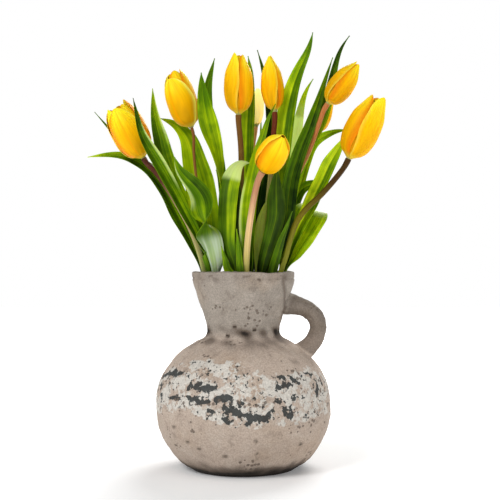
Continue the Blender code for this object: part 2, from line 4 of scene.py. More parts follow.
import bpy
import numpy as np
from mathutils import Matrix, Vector


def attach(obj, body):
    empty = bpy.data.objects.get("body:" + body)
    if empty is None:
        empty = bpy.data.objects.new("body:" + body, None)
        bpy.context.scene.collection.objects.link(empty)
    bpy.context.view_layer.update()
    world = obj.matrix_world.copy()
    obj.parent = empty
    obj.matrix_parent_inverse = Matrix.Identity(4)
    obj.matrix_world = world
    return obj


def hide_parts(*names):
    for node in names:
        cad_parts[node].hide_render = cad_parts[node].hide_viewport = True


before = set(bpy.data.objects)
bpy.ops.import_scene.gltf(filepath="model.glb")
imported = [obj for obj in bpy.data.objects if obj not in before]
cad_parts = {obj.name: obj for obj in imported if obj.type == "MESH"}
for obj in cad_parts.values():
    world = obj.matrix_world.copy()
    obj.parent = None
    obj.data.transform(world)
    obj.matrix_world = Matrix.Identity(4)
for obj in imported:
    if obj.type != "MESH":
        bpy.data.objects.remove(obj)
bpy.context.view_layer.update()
mm = 0.001

# The camera stands 1.1 m in front of the jug. Places on the flowers are given as it sees them: across
# and down in a view of 500 by 500 units, where a unit on the jug's axis is 1 mm, then a depth in mm.
viewPoint = {"x": 6.7, "y": -1100.0, "z": 216.5, "centre": 250, "lens": 79.2}

jugRim = 195.0  # the height of the jug's rim in mm
sharpAngle = math.radians(50)  # faces that meet at more than this keep a crisp edge


def seenAt(place):
    # the point in metres at a place in the camera's view and a depth
    across, down, depth = place
    scale = (depth - viewPoint["y"]) / -viewPoint["y"]
    x = viewPoint["x"] + (across - viewPoint["centre"]) * scale
    z = viewPoint["z"] + (viewPoint["centre"] - down) * scale
    return np.array((x, depth, z)) * mm


def smoothLine(points, count):
    # a Catmull-Rom curve through the points, read at evenly spaced lengths along it
    points = np.asarray(points, float)
    ends = np.vstack([2 * points[0] - points[1], points, 2 * points[-1] - points[-2]])
    a, b, c, d = ends[:-3], ends[1:-2], ends[2:-1], ends[3:]
    t = np.linspace(0, 1, 24, endpoint=False)[:, None, None]
    curve = 0.5 * (2 * b + (c - a) * t + (2 * a - 5 * b + 4 * c - d) * t**2 + (3 * b - a - 3 * c + d) * t**3)
    curve = np.vstack([curve.transpose(1, 0, 2).reshape(-1, points.shape[1]), points[-1:]])
    length = np.concatenate([[0], np.cumsum(np.linalg.norm(np.diff(curve, axis=0), axis=1))])
    wanted = np.linspace(0, length[-1], count)
    return np.stack([np.interp(wanted, length, curve[:, axis]) for axis in range(points.shape[1])], axis=1)


def softened(rows, times):
    # each row but the first and last becomes half of itself and a quarter of each neighbour
    rows = rows.copy()
    for _ in range(times):
        rows[1:-1] = 0.25 * rows[:-2] + 0.5 * rows[1:-1] + 0.25 * rows[2:]
    return rows


def unit(vectors):
    # the vectors, each divided by its own length
    return vectors / np.maximum(np.linalg.norm(vectors, axis=-1, keepdims=True), 1e-12)


def smoothStep(low, high, value):
    # 0 up to low, 1 from high on, and between them three t squared less two t cubed
    t = np.clip((value - low) / (high - low), 0, 1)
    return t * t * (3 - 2 * t)


def softNoise(points, size, seed, waves=28):
    # the sum of plane waves of about this size in random directions, over the root of their number
    draw = np.random.default_rng(seed)
    ways = unit(draw.normal(size=(waves, points.shape[1]))) * draw.uniform(0.7, 1.4, (waves, 1))
    phases = draw.uniform(0, 2 * np.pi, waves)
    return np.sin(points @ ways.T * (2 * np.pi / size) + phases).sum(axis=1) / math.sqrt(waves)


def gridQuads(rows, columns, around=False):
    # corners of the quads of a grid whose points run along its rows, joined round if around is true
    columnStart = np.arange(columns if around else columns - 1)
    here = (np.arange(rows - 1)[:, None] * columns + columnStart).ravel()
    right = (np.arange(rows - 1)[:, None] * columns + (columnStart + 1) % columns).ravel()
    return np.stack([here, right, right + columns, here + columns], axis=1)


def sheetPart(middle, thick, acrossAlong, tone):
    # A closed blade: its upper face lies half the thickness out along the normal of the middle grid,
    # its under face as far in, and a strip of quads closes its edge.
    rows, columns = middle.shape[:2]
    count = rows * columns
    normal = unit(np.cross(np.gradient(middle, axis=1), np.gradient(middle, axis=0)))
    out = normal * (np.broadcast_to(thick, (rows, columns)) / 2)[..., None]
    top = gridQuads(rows, columns)
    index = np.arange(count).reshape(rows, columns)
    edge = np.concatenate([index[0, :-1], index[:-1, -1], index[-1, :0:-1], index[:0:-1, 0]])
    after = np.roll(edge, -1)
    rim = np.stack([edge, edge + count, after + count, after], axis=1)
    return {
        "vertices": np.concatenate([(middle + out).reshape(-1, 3), (middle - out).reshape(-1, 3)]),
        "faces": np.concatenate([top, top[:, ::-1] + count, rim]),
        "uv": np.tile(acrossAlong.reshape(-1, 2), (2, 1)),
        "fields": {"under": np.repeat([0.0, 1.0], count), "tone": np.tile(tone.reshape(-1, 3), (2, 1))},
        "slot": 0,
    }


def ringsPart(rings, ends, uv, fields, slot):
    # a closed body from one ring of points for each row, with a fan round each of the two end points
    rows, around = rings.shape[:2]
    here = np.arange(around)
    after = (here + 1) % around
    last = (rows - 1) * around
    low = np.stack([np.full(around, rows * around), after, here, here], axis=1)
    high = np.stack([np.full(around, rows * around + 1), last + here, last + after, last + after], axis=1)
    return {
        "vertices": np.concatenate([rings.reshape(-1, 3), ends]),
        "faces": np.concatenate([gridQuads(rows, around, around=True), low, high]),
        "uv": uv, "fields": fields, "slot": slot,
    }


def tubePart(line, radii, sides, tone=None, slot=0):
    # a round tube: a ring of the radius at each point, square to the line, closed by a fan at each end
    tangent = unit(np.gradient(line, axis=0))
    across = unit(np.cross(tangent, (0, 1, 0)))
    other = np.cross(tangent, across)
    angle = np.arange(sides) * 2 * np.pi / sides
    ring = np.cos(angle)[:, None] * across[:, None] + np.sin(angle)[:, None] * other[:, None]
    rings = line[:, None] + ring * np.reshape(radii, (-1, 1, 1))
    t = np.linspace(0, 1, len(line))
    uv = np.stack(np.broadcast_arrays(angle[None] / (2 * np.pi), t[:, None]), axis=-1).reshape(-1, 2)
    fields = {"under": np.zeros(len(uv) + 2)}
    if tone is not None:
        fields["tone"] = np.concatenate([np.repeat(tone, sides, axis=0), tone[:1], tone[-1:]])
    return ringsPart(rings, (line[0], line[-1]), np.concatenate([uv, [[0.5, 0], [0.5, 1]]]), fields, slot)


def turnedPart(outline, around):
    # a solid turned about z: the outline's points carried round, with the two ends closed at the axis
    angle = np.arange(around) * 2 * np.pi / around
    flat = outline[:, None, :1] * np.stack([np.cos(angle), np.sin(angle)], axis=1)
    rings = np.concatenate([flat, np.broadcast_to(outline[:, None, 1:], flat.shape[:2] + (1,))], axis=-1)
    ends = [(0, 0, outline[0, 1]), (0, 0, outline[-1, 1])]
    return ringsPart(rings, ends, np.zeros((rings.size // 3 + 2, 2)), {}, 0)


def meshObject(name, parts, materials):
    # joins the parts' arrays into one mesh, with the map "blade" and one attribute for each field
    start = np.cumsum([0] + [len(part["vertices"]) for part in parts])
    vertices = np.concatenate([part["vertices"] for part in parts])
    faces = np.concatenate([part["faces"] + first for part, first in zip(parts, start)])
    slots = np.concatenate([np.full(len(part["faces"]), part["slot"]) for part in parts])
    corners = [list(dict.fromkeys(face)) for face in faces.tolist()]
    mesh = bpy.data.meshes.new(name)
    mesh.from_pydata(vertices.tolist(), [], corners)
    mesh.polygons.foreach_set("material_index", slots.astype(np.int32))
    uv = np.concatenate([part["uv"] for part in parts])
    corner = np.empty(len(mesh.loops), np.int32)
    mesh.loops.foreach_get("vertex_index", corner)
    blade = mesh.uv_layers.new(name="blade")
    blade.data.foreach_set("uv", uv[corner].ravel().astype(np.float32))
    for field in sorted({field for part in parts for field in part["fields"]}):
        values = np.concatenate([part["fields"][field] for part in parts]).astype(np.float32)
        kind, key = ("FLOAT_VECTOR", "vector") if values.ndim > 1 else ("FLOAT", "value")
        mesh.attributes.new(field, kind, "POINT").data.foreach_set(key, values.ravel())
    for material in materials:
        mesh.materials.append(material)
    mesh.shade_smooth()
    mesh.set_sharp_from_angle(angle=sharpAngle)
    piece = bpy.data.objects.new(name, mesh)
    bpy.context.scene.collection.objects.link(piece)
    return piece


def place(piece, node, slotName):
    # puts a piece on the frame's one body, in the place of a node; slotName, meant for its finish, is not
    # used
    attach(piece, "root")
    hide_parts(node)


def newMaterial(name, roughness, settings):
    # a material with its node tree and its shader, whose inputs hold the settings
    material = bpy.data.materials.new(name)
    material.use_nodes = True
    shader = material.node_tree.nodes["Principled BSDF"]
    shader.inputs["Roughness"].default_value = roughness
    for socket, value in settings.items():
        shader.inputs[socket].default_value = value
    return material, material.node_tree, shader


def feed(tree, socket, value):
    # sets a node's input to a value, or links it to another node's output
    if isinstance(value, bpy.types.NodeSocket):
        tree.links.new(value, socket)
    else:
        socket.default_value = value


def add(tree, kind, inputs=None, **settings):
    # a node with its settings and with its inputs fed
    node = tree.nodes.new(kind)
    for name, value in settings.items():
        setattr(node, name, value)
    for socket, value in (inputs or {}).items():
        feed(tree, node.inputs[socket], value)
    return node


def blend(tree, first, second, share, mode="MIX"):
    # a mix of two colours, each given as a socket or as red, green and blue
    node = add(tree, "ShaderNodeMix", {0: share}, data_type="RGBA", blend_type=mode, clamp_factor=True)
    for number, colour in ((6, first), (7, second)):
        feed(tree, node.inputs[number], (*colour, 1) if isinstance(colour, tuple) else colour)
    return node.outputs[2]


def layered(tree, colour, palette, layers):
    # lays colours of the palette over a colour one after another, each by its share
    for name, share in layers:
        colour = blend(tree, colour, palette[name], share)
    return colour


def ranged(tree, value, low, high, toLow=0.0, toHigh=1.0, soft=True):
    # carries a value from one range to another and stops at its ends, by a smooth step or evenly
    node = add(tree, "ShaderNodeMapRange", {0: value, 1: low, 2: high, 3: toLow, 4: toHigh},
               interpolation_type="SMOOTHSTEP" if soft else "LINEAR")
    return node.outputs[0]


def sums(tree, operation, first, second=0.0):
    # the first value added to, lessened or multiplied by the second, or its size without its sign
    return add(tree, "ShaderNodeMath", {0: first, 1: second}, operation=operation).outputs[0]


def times(tree, first, second):
    # the product of two values
    return sums(tree, "MULTIPLY", first, second)


def fieldAt(tree, name, output="Fac"):
    # what the mesh holds under this name at each place
    return add(tree, "ShaderNodeAttribute", attribute_name=name).outputs[output]


def tonesAt(tree):
    # the three numbers of the mesh's tone
    return add(tree, "ShaderNodeSeparateXYZ", {0: fieldAt(tree, "tone", "Vector")}).outputs


def spotAt(tree):
    # the place on the object, in metres
    return add(tree, "ShaderNodeTexCoord").outputs["Object"]


def noiseAt(tree, spot, scale, detail, roughness=0.5):
    # noise of about 0.3 to 0.7, finer as the scale grows
    return add(tree, "ShaderNodeTexNoise", {"Vector": spot, "Scale": scale, "Detail": detail,
                                            "Roughness": roughness}).outputs[0]


def paint(tree, shader, colour, roughness, strength, distance, height):
    # the shader's colour and roughness, and a bump that is distance metres high where the height is 1
    bump = add(tree, "ShaderNodeBump", {"Strength": strength, "Distance": distance, "Height": height})
    feed(tree, shader.inputs["Base Color"], colour)
    feed(tree, shader.inputs["Roughness"], roughness)
    feed(tree, shader.inputs["Normal"], bump.outputs[0])


def newGroup(name, vector, numbers, results):
    # an empty node group that takes one vector and some numbers, and puts out numbers
    group = bpy.data.node_groups.new(name, "ShaderNodeTree")
    group.interface.new_socket(vector, in_out="INPUT", socket_type="NodeSocketVector")
    for sockets, way in ((numbers, "INPUT"), (results, "OUTPUT")):
        for socket in sockets:
            group.interface.new_socket(socket, in_out=way, socket_type="NodeSocketFloat")
    return group, group.nodes.new("NodeGroupInput").outputs, group.nodes.new("NodeGroupOutput").inputs


def fibreGroup():
    # Fine and broad streaks that run along a blade: noise read at the place across, times a density,
    # and at the place along, times a much smaller one. Broad streaks have 0.22 of the density.
    group, given, result = newGroup(
        "lengthwise fibres", "Blade", ("Density", "Length", "Seed"), ("Fine", "Broad"))
    parts = add(group, "ShaderNodeSeparateXYZ", {0: given["Blade"]}).outputs
    across = times(group, parts[0], given["Density"])
    along = times(group, parts[1], given["Length"])
    for name, wide, detail in (("Fine", across, 2.0), ("Broad", times(group, across, 0.22), 1.0)):
        at = add(group, "ShaderNodeCombineXYZ", {0: wide, 1: along, 2: given["Seed"]}).outputs[0]
        group.links.new(noiseAt(group, at, 1.0, detail), result[name])
    return group


def fleckGroup():
    # ragged flecks: noise of the given size above a threshold, which the density lowers
    group, given, result = newGroup(
        "ragged flecks", "Place", ("Scale", "Threshold", "Density", "Softness"), ("Mask",))
    noise = add(group, "ShaderNodeTexNoise", {"Vector": given["Place"], "Scale": given["Scale"],
                                              "Detail": 3.0, "Roughness": 0.6, "Distortion": 0.4})
    level = sums(group, "SUBTRACT", given["Threshold"], given["Density"])
    top = sums(group, "ADD", level, given["Softness"])
    group.links.new(ranged(group, noise.outputs[0], level, top), result["Mask"])
    return group


fibres = fibreGroup()
flecks = fleckGroup()


def bladeAt(tree):
    # the place across a blade, from 0 to 1, the place along it, and how far off its middle line it is
    blade = add(tree, "ShaderNodeUVMap", uv_map="blade").outputs[0]
    parts = add(tree, "ShaderNodeSeparateXYZ", {0: blade}).outputs
    return parts[0], parts[1], sums(tree, "ABSOLUTE", sums(tree, "SUBTRACT", parts[0], 0.5))


def fibresAt(tree, density, length, seed):
    # the fine and the broad streaks of a blade
    blade = add(tree, "ShaderNodeUVMap", uv_map="blade").outputs[0]
    return add(tree, "ShaderNodeGroup", {"Blade": blade, "Density": density, "Length": length,
                                         "Seed": seed}, node_tree=fibres).outputs


def flecksAt(tree, spot, scale, threshold, density, softness):
    # the mask of the flecks at a place
    return add(tree, "ShaderNodeGroup",
               {"Place": spot, "Scale": scale, "Threshold": threshold, "Density": density,
                "Softness": softness}, node_tree=flecks).outputs["Mask"]


leafColours = {
    "deep": (0.004, 0.018, 0.0), "green": (0.075, 0.17, 0.0), "bright": (0.27, 0.40, 0.0),
    "sunlit": (0.58, 0.68, 0.01), "paleAndPaintedLight": (0.66, 0.77, 0.28), "under": (0.20, 0.33, 0.04),
    "frost": (0.48, 0.57, 0.40),
}


def leafMaterial():
    # The tone's numbers are the painted light, the paleness, which on some blades is painted light as
    # well, and the frost of the under side. Streaks and a cloud shift the painted light a little, and the
    # light picks the colour.
    material, tree, shader = newMaterial(
        "tulip leaf", 0.5,
        {"Subsurface Weight": 0.3, "Subsurface Radius": (0.55, 1.0, 0.08), "Subsurface Scale": 0.001,
         "Specular IOR Level": 0.06})
    veins = fibresAt(tree, 34.0, 2.2, 1.7)
    light, palenessAndPaintedLight, frost = tonesAt(tree)
    under = fieldAt(tree, "under")
    offMiddle = bladeAt(tree)[2]
    cloud = noiseAt(tree, spotAt(tree), 55.0, 2.0)
    for shift, low, high, most in (
            (veins["Broad"], 0.3, 0.7, 0.22), (veins["Fine"], 0.35, 0.65, 0.14), (cloud, 0.35, 0.65, 0.16)):
        light = sums(tree, "ADD", light, ranged(tree, shift, low, high, -most, most))
    frosted = times(tree, times(tree, under, frost), ranged(tree, veins["Broad"], 0.3, 0.7, 1.0, 0.4))
    colour = layered(tree, leafColours["deep"], leafColours, (
        ("green", ranged(tree, light, -1.0, 0.0, soft=False)),
        ("bright", ranged(tree, light, 0.0, 0.55, soft=False)),
        ("sunlit", ranged(tree, light, 0.55, 1.1, soft=False)),
        ("under", times(tree, under, 0.08)),
        ("frost", frosted),
        ("bright", ranged(tree, offMiddle, 0.0, 0.035, 0.3, 0.0)),  # the midrib
        ("bright", ranged(tree, offMiddle, 0.47, 0.5, 0.0, 0.35)),  # the thin edge
        ("paleAndPaintedLight", times(tree, palenessAndPaintedLight, ranged(tree, veins["Broad"], 0.2, 0.7, 1.0, 0.75))),
    ))
    rough = ranged(tree, veins["Broad"], 0.2, 0.8, 0.42, 0.6)
    paint(tree, shader, colour, rough, 0.5, 0.0003, veins["Fine"])
    # painted glow: places paler than 0.85 give off a little light in their own colour
    feed(tree, shader.inputs["Emission Color"], colour)
    feed(tree, shader.inputs["Emission Strength"], ranged(tree, palenessAndPaintedLight, 0.85, 1.0, 0.0, 0.3))
    return material


stemColours = {"streak": (0.10, 0.05, 0.012), "green": (0.36, 0.36, 0.08)}


def stemMaterial():
    # the colour that the mesh holds, under darker lengthwise streaks and a faint green mottle
    material, tree, shader = newMaterial(
        "tulip stem", 0.5,
        {"Subsurface Weight": 0.2, "Subsurface Radius": (0.9, 0.8, 0.2), "Subsurface Scale": 0.0008,
         "Specular IOR Level": 0.08})
    streaks = fibresAt(tree, 16.0, 3.0, 4.2)
    mottle = noiseAt(tree, spotAt(tree), 160.0, 3.0)
    colour = layered(tree, fieldAt(tree, "tone", "Color"), stemColours, (
        ("streak", ranged(tree, streaks["Fine"], 0.45, 0.75, 0, 0.3)),
        ("green", ranged(tree, mottle, 0.5, 0.75, 0, 0.07)),
    ))
    paint(tree, shader, colour, ranged(tree, mottle, 0.3, 0.7, 0.38, 0.55), 0.35, 0.0003, streaks["Fine"])
    return material


petalColours = {
    "golden": (0.94, 0.47, 0.0), "bright": (1.0, 0.78, 0.02), "ochre": (0.60, 0.30, 0.0),
    "orange": (0.88, 0.31, 0.0), "seamShadow": (0.72, 0.20, 0.0), "margin": (1.0, 0.86, 0.12),
    "cream": (1.0, 0.95, 0.40), "foot": (0.60, 0.46, 0.04),
}


def petalMaterial():
    # The tone's numbers are the petal's painted shade, how much light shines through it, painted as cream
    # and a glow, and how strong its pale margin is. Painted shade and the lower half, shaded in paint, are
    # ochre; the upper half is brighter as painted light, the edge that lies over has a pale margin that is
    # partly a painted highlight, and the strip beside a seam is orange as a painted shadow.
    material, tree, shader = newMaterial(
        "tulip petal", 0.5,
        {"Subsurface Weight": 0.35, "Subsurface Radius": (1.0, 0.7, 0.03), "Subsurface Scale": 0.0012,
         "Specular IOR Level": 0.06})
    veins = fibresAt(tree, 30.0, 1.6, 2.9)
    across, along, offMiddle = bladeAt(tree)
    shade, paintedBacklight, margin = tonesAt(tree)
    broad = sums(tree, "SUBTRACT", ranged(tree, veins["Broad"], 0.36, 0.66), 0.5)
    # painted shade: the lower half darkens towards the foot
    shade = sums(tree, "ADD", ranged(tree, along, 0.75, 0.1, 0.0, 0.75), shade)
    shade = sums(tree, "ADD", shade, times(tree, broad, 0.45))
    colour = layered(tree, petalColours["golden"], petalColours, (
        # painted light: the upper half brightens towards the tip
        ("bright", ranged(tree, along, 0.5, 1.0)),
        ("ochre", shade),
        ("ochre", times(tree, ranged(tree, veins["Fine"], 0.42, 0.66), 0.32)),
        ("orange", ranged(tree, offMiddle, 0.0, 0.05, 0.45, 0.0)),  # the midrib
        # painted shadow in orange beside the seam
        ("seamShadow", ranged(tree, across, 0.34, 0.04, 0.0, 0.9)),
        # pale margin of the edge that lies over, partly a painted highlight
        ("margin", times(tree, ranged(tree, across, 0.88, 0.985), margin)),
        ("cream", paintedBacklight),
        ("foot", ranged(tree, along, 0.0, 0.14, 0.8, 0.0)),
    ))
    rough = ranged(tree, veins["Broad"], 0.2, 0.8, 0.44, 0.6)
    paint(tree, shader, colour, rough, 0.45, 0.0003, veins["Fine"])
    # painted glow: where light is said to shine through, the petal gives off light in its own colour
    feed(tree, shader.inputs["Emission Color"], colour)
    feed(tree, shader.inputs["Emission Strength"], times(tree, paintedBacklight, 0.6))
    return material


clayColours = {
    "neck": (0.30, 0.262, 0.222), "belly": (0.45, 0.365, 0.30), "lime": (0.60, 0.575, 0.525),
    "slate": (0.018, 0.024, 0.025), "soilAndShade": (0.13, 0.10, 0.078), "ochre": (0.33, 0.22, 0.13),
    "black": (0.008, 0.006, 0.004), "light": (0.56, 0.49, 0.42),
}


def stonewareMaterial():
    # Clay that is greyer above the belly, mottled light, ochre and dark, then lime and slate flecks
    # where the mesh holds crust and slate, pores, soil and painted shade that turn black where strongest,
    # as at the foot, and grit over everything.
    material, tree, shader = newMaterial("rough stoneware", 0.9, {"Specular IOR Level": 0.25})
    spot = spotAt(tree)
    crust, slate, soilAndShade, upper = (fieldAt(tree, name) for name in ("crust", "slate", "soilAndShade", "upper"))
    mottle = noiseAt(tree, spot, 60.0, 5.0, 0.65)
    cloud = noiseAt(tree, spot, 18.0, 3.0)
    grit = noiseAt(tree, spot, 700.0, 3.0, 0.7)
    limeFlecks = flecksAt(tree, spot, 210.0, 0.95, crust, 0.12)
    slateFlecks = flecksAt(tree, spot, 230.0, 0.9, slate, 0.035)
    cells = add(tree, "ShaderNodeTexVoronoi", {"Vector": spot, "Scale": 210.0, "Randomness": 1.0})
    openness = times(tree, ranged(tree, noiseAt(tree, spot, 45.0, 1.0), 0.5, 0.68), 0.34)
    pore = ranged(tree, sums(tree, "SUBTRACT", cells.outputs["Distance"], openness), -0.05, 0.06, 1.0, 0.0)
    colour = layered(tree, clayColours["belly"], clayColours, (
        ("neck", upper),
        ("ochre", ranged(tree, cloud, 0.5, 0.75, 0, 0.35)),
        ("light", ranged(tree, mottle, 0.5, 0.72, 0, 0.35)),
        ("soilAndShade", ranged(tree, mottle, 0.46, 0.3, 0, 0.4)),
        ("lime", times(tree, limeFlecks, 0.85)),
        ("slate", times(tree, slateFlecks, 0.93)),
        ("soilAndShade", times(tree, pore, 0.8)),
        # soil and painted shade: brown, then near black where strongest, as in the painted shade at the foot
        ("soilAndShade", ranged(tree, soilAndShade, 0.0, 0.6, soft=False)),
        ("black", ranged(tree, soilAndShade, 0.6, 1.0, 0.0, 0.9)),
    ))
    gritty = ranged(tree, grit, 0.35, 0.65, 0.82, 1.12)
    grey = add(tree, "ShaderNodeCombineColor", {0: gritty, 1: gritty, 2: gritty})
    colour = blend(tree, colour, grey.outputs[0], 1.0, "MULTIPLY")
    height = sums(tree, "ADD", times(tree, mottle, 0.8), times(tree, grit, 0.3))
    for operation, mask, most in (
            ("ADD", limeFlecks, 0.35), ("SUBTRACT", slateFlecks, 0.5), ("SUBTRACT", pore, 0.6)):
        height = sums(tree, operation, height, times(tree, mask, most))
    paint(tree, shader, colour, ranged(tree, slateFlecks, 0, 1, 0.92, 0.7), 0.8, 0.0008, height)
    return material


def waterMaterial():
    # clear water with a faint green tint and a nearly still surface
    material, tree, shader = newMaterial("clear water", 0.02, {"Transmission Weight": 1.0, "IOR": 1.33})
    still = noiseAt(tree, spotAt(tree), 30.0, 1.0)
    tint = blend(tree, (0.86, 0.93, 0.88), (0.78, 0.88, 0.80), still)
    paint(tree, shader, tint, 0.02, 0.2, 0.0005, still)
    return material


print("materials")
leafGreen = leafMaterial()
stemSkin = stemMaterial()
petalYellow = petalMaterial()
stoneware = stonewareMaterial()
clearWater = waterMaterial()


# Each stem stands upright in the neck and then follows its line to its bloom. Neck is its place there
# in mm, slim the share of its radius that it loses higher up. Colours run from the neck to the bloom,
# as red, green and blue.
stemLook = {
    "sides": 20, "rows": 90, "swell": 0.12, "wander": 0.025,
    "foot": 8.3, "straight": (114, 132),  # heights in mm of its foot and of its straight run in the neck
    "belowBloom": (7, 2), "gap": 0.1,  # mm
}
stems = {
    "a": {"neck": (-25, -4), "radius": 2.6, "top": (143.5, 158, 4),
          "colours": ((0.32, 0.36, 0.10), (0.36, 0.24, 0.13), (0.075, 0.018, 0.012)),
          "line": ((204, 271, -6), (199, 252, -6), (189, 226, -4), (173, 197.5, -1), (156, 172.5, 2))},
    "b": {"neck": (-17, 12), "radius": 2.2, "slim": 0.35, "top": (191.5, 127.5, 10),
          "colours": ((0.25, 0.30, 0.05), (0.28, 0.16, 0.04), (0.22, 0.08, 0.02)),
          "line": ((213, 271, 18), (206, 230, 17), (198, 190, 14), (194, 155, 11))},
    "c": {"neck": (-5, 4), "radius": 2.8, "top": (238.5, 115, 2),
          "colours": ((0.12, 0.16, 0.02), (0.14, 0.10, 0.012), (0.15, 0.065, 0.012)),
          "line": ((236, 271, 6), (239, 225, 5), (241, 185, 4), (241, 150, 3))},
    "d": {"neck": (11, 8), "radius": 2.5, "top": (274.5, 112, 8),
          "colours": ((0.16, 0.10, 0.01), (0.55, 0.50, 0.16), (0.13, 0.022, 0.008)),
          "line": ((259, 271, 9), (263, 235, 9), (268, 200, 8), (271.5, 165, 8), (273.5, 135, 8))},
    "e": {"neck": (2, -18), "radius": 3.1, "top": (262.5, 171.6, -36),
          "colours": ((0.50, 0.46, 0.11), (0.72, 0.48, 0.25), (0.45, 0.22, 0.12)),
          "line": ((246, 271, -26), (247.5, 243, -28), (251, 215, -30), (255.5, 190, -33))},
    "f": {"neck": (16.5, -1.5), "radius": 2.3, "top": (327.5, 104.2, -5),
          "colours": ((0.10, 0.14, 0.01), (0.30, 0.15, 0.04), (0.45, 0.16, 0.05)),
          "line": ((272, 271, -3), (279, 240, -1), (287, 208, 0), (294, 184, 0), (301.5, 167, 0),
          (307.5, 155, -1), (312.5, 142, -3), (316.5, 130.5, -4), (321.5, 117, -5))},
    "g": {"neck": (23.5, -7), "radius": 2.8, "top": (348.5, 159, -26),
          "colours": ((0.20, 0.22, 0.02), (0.14, 0.11, 0.004), (0.045, 0.02, 0.002)),
          "line": ((281.5, 270, -8), (285.5, 258, -10), (290, 240, -12), (296, 223, -13), (306, 209, -15),
          (321, 195, -18), (336, 178, -22))},
    "h": {"neck": (0, 22), "radius": 2.2, "top": (255.5, 127, 34),
          "colours": ((0.25, 0.28, 0.05), (0.55, 0.32, 0.12), (0.80, 0.38, 0.14)),
          "line": ((246, 271, 32), (249, 220, 33), (251, 175, 34), (252.8, 148, 34))},
    "i": {"neck": (13, 19), "radius": 2.4, "top": (318, 133, 37),
          "colours": ((0.25, 0.28, 0.05), (0.32, 0.24, 0.06), (0.26, 0.13, 0.04)),
          "line": ((268, 271, 22), (281, 228, 27), (294.5, 188, 33), (306, 158, 36))},
}

# Axis is the way that a bloom points, length and radius are its own in mm, tip is the radius at its tips
# as a share of the largest, turn its turn about its own axis in degrees and spread how far its tips
# part. Tall is the share of the length that each of its six petals reaches. Lap is -1 where the petals
# lie over each other the other way round, wrap is the number of a petal that reaches further round, full
# makes the upper half wider, and blunt widens each petal's tip by so many mm. Shade darkens a bloom with
# painted shade, margin is how strong the pale edge of its petals is, partly their own colour and partly
# a painted highlight, and pale how much light shines through it, painted as cream and a glow.
bloomLook = {
    "rows": 54, "columns": 31, "thick": 0.62, "seed": 21, "coreColour": (0.34, 0.33, 0.1),
    "innerStep": 1.8, "innerLength": 0.97, "leastRadius": 1.2, "turnError": 0.04,
    "wrapped": (1.62, 1.5, 0.9), "unwrapped": (1.16, 1, 0),  # most half turn, width, distance out
    "overlap": (0.22, 0.1), "belly": 0.35, "groove": 0.35, "ruffle": 0.2,  # outer and inner petals, mm
    "leans": (0.2, 1.6), "innerLean": 0.3,
    "shades": (-0.2, 0.25), "innerShade": 0.2, "sideShade": 0.15, "margin": 0.25,
}
blooms = {
    "a": {"axis": (-0.47, -0.1, 0.88), "length": 61, "radius": 17.8, "tip": 0.56, "turn": 99,
          "spread": 1.8, "full": 0.25, "tall": (1, 0.98, 0.95, 0.99, 0.92, 0.96)},
    "b": {"axis": (-0.33, 0, 0.94), "length": 61, "radius": 14.4, "tip": 0.5, "turn": 82, "spread": 1.0,
          "full": 0.5, "margin": 0.9, "wrap": 4, "tall": (0.97, 0.98, 0.97, 0.96, 0.86, 1)},
    "c": {"axis": (0, 0, 1), "length": 62, "radius": 14.3, "tip": 0.34, "turn": 30, "spread": 0.2,
          "tall": (1, 0.95, 0.965, 0.97, 0.98, 0.97)},
    "d": {"axis": (-0.09, 0, 1), "length": 57, "radius": 11.2, "tip": 0.12, "turn": 85,
          "tall": (1, 0.97, 0.98, 0.97, 0.99, 0.96)},
    "e": {"axis": (0.45, -0.5, 0.74), "length": 43.5, "radius": 14.3, "tip": 0.14, "turn": 113,
          "blunt": 3.0, "full": 1.0, "tall": (1, 0.96, 0.98, 0.97, 1, 0.96)},
    "f": {"axis": (0.6, 0, 0.8), "length": 50, "radius": 12.2, "tip": 0.18, "turn": 96,
          "tall": (1.03, 0.96, 1, 0.97, 1, 0.96), "shade": 0.3},
    "g": {"axis": (0.43, -0.05, 0.9), "length": 68, "radius": 17, "tip": 0.36, "turn": 115, "spread": 0.9,
          "lap": -1, "tall": (0.97, 0.95, 1, 0.97, 0.98, 0.95)},
    # this bloom is painted as backlit: pale cream with a glow
    "h": {"axis": (0.08, 0.1, 1), "length": 41, "radius": 6.8, "tip": 0.3, "turn": 0, "spread": 0.2,
          "tall": (1, 0.98, 0.98, 0.97, 0.99, 0.98), "paleAndPaintedLight": 1.0},
    "i": {"axis": (0.22, 0.1, 1), "length": 50, "radius": 10, "tip": 0.3, "turn": 50, "spread": 0.2,
          "tall": (1, 0.98, 0.98, 0.97, 0.99, 0.98)},
}
bloomProfile = ((0.17, 0.02), (0.37, 0.06), (0.60, 0.1), (0.82, 0.18), (0.96, 0.3), (1, 0.45))  # shares
petalWidths = ((0, 0.16), (0.1, 0.5), (0.25, 0.84), (0.45, 1.08), (0.62, 1.04), (0.78, 0.82), (0.9, 0.5),
               (0.97, 0.24), (1, 0.05))  # share of the length, then of the bloom's radius
coreProfile = ((2.4, 0), (3.3, 2.5), (3.0, 6), (1.0, 8.5))  # radius and height in mm


def stemLine(name):
    # the stem's upright foot, its bend out of the neck and its run to the bloom, in metres
    stem = stems[name]
    x, y = stem["neck"]
    axis = unit(np.array(blooms[name]["axis"], float))
    top = seenAt(stem["top"])
    free = [np.array((x, y, height)) * mm for height in stemLook["straight"]]
    free += [seenAt(at) for at in stem["line"]]
    free += [top - axis * below * mm for below in stemLook["belowBloom"]]
    line = softened(smoothLine(free, stemLook["rows"]), 4)
    foot = np.linspace((x * mm, y * mm, stemLook["foot"] * mm), free[0], 8)[:-1]
    return np.vstack([foot, line, [top - axis * stemLook["gap"] * mm]])


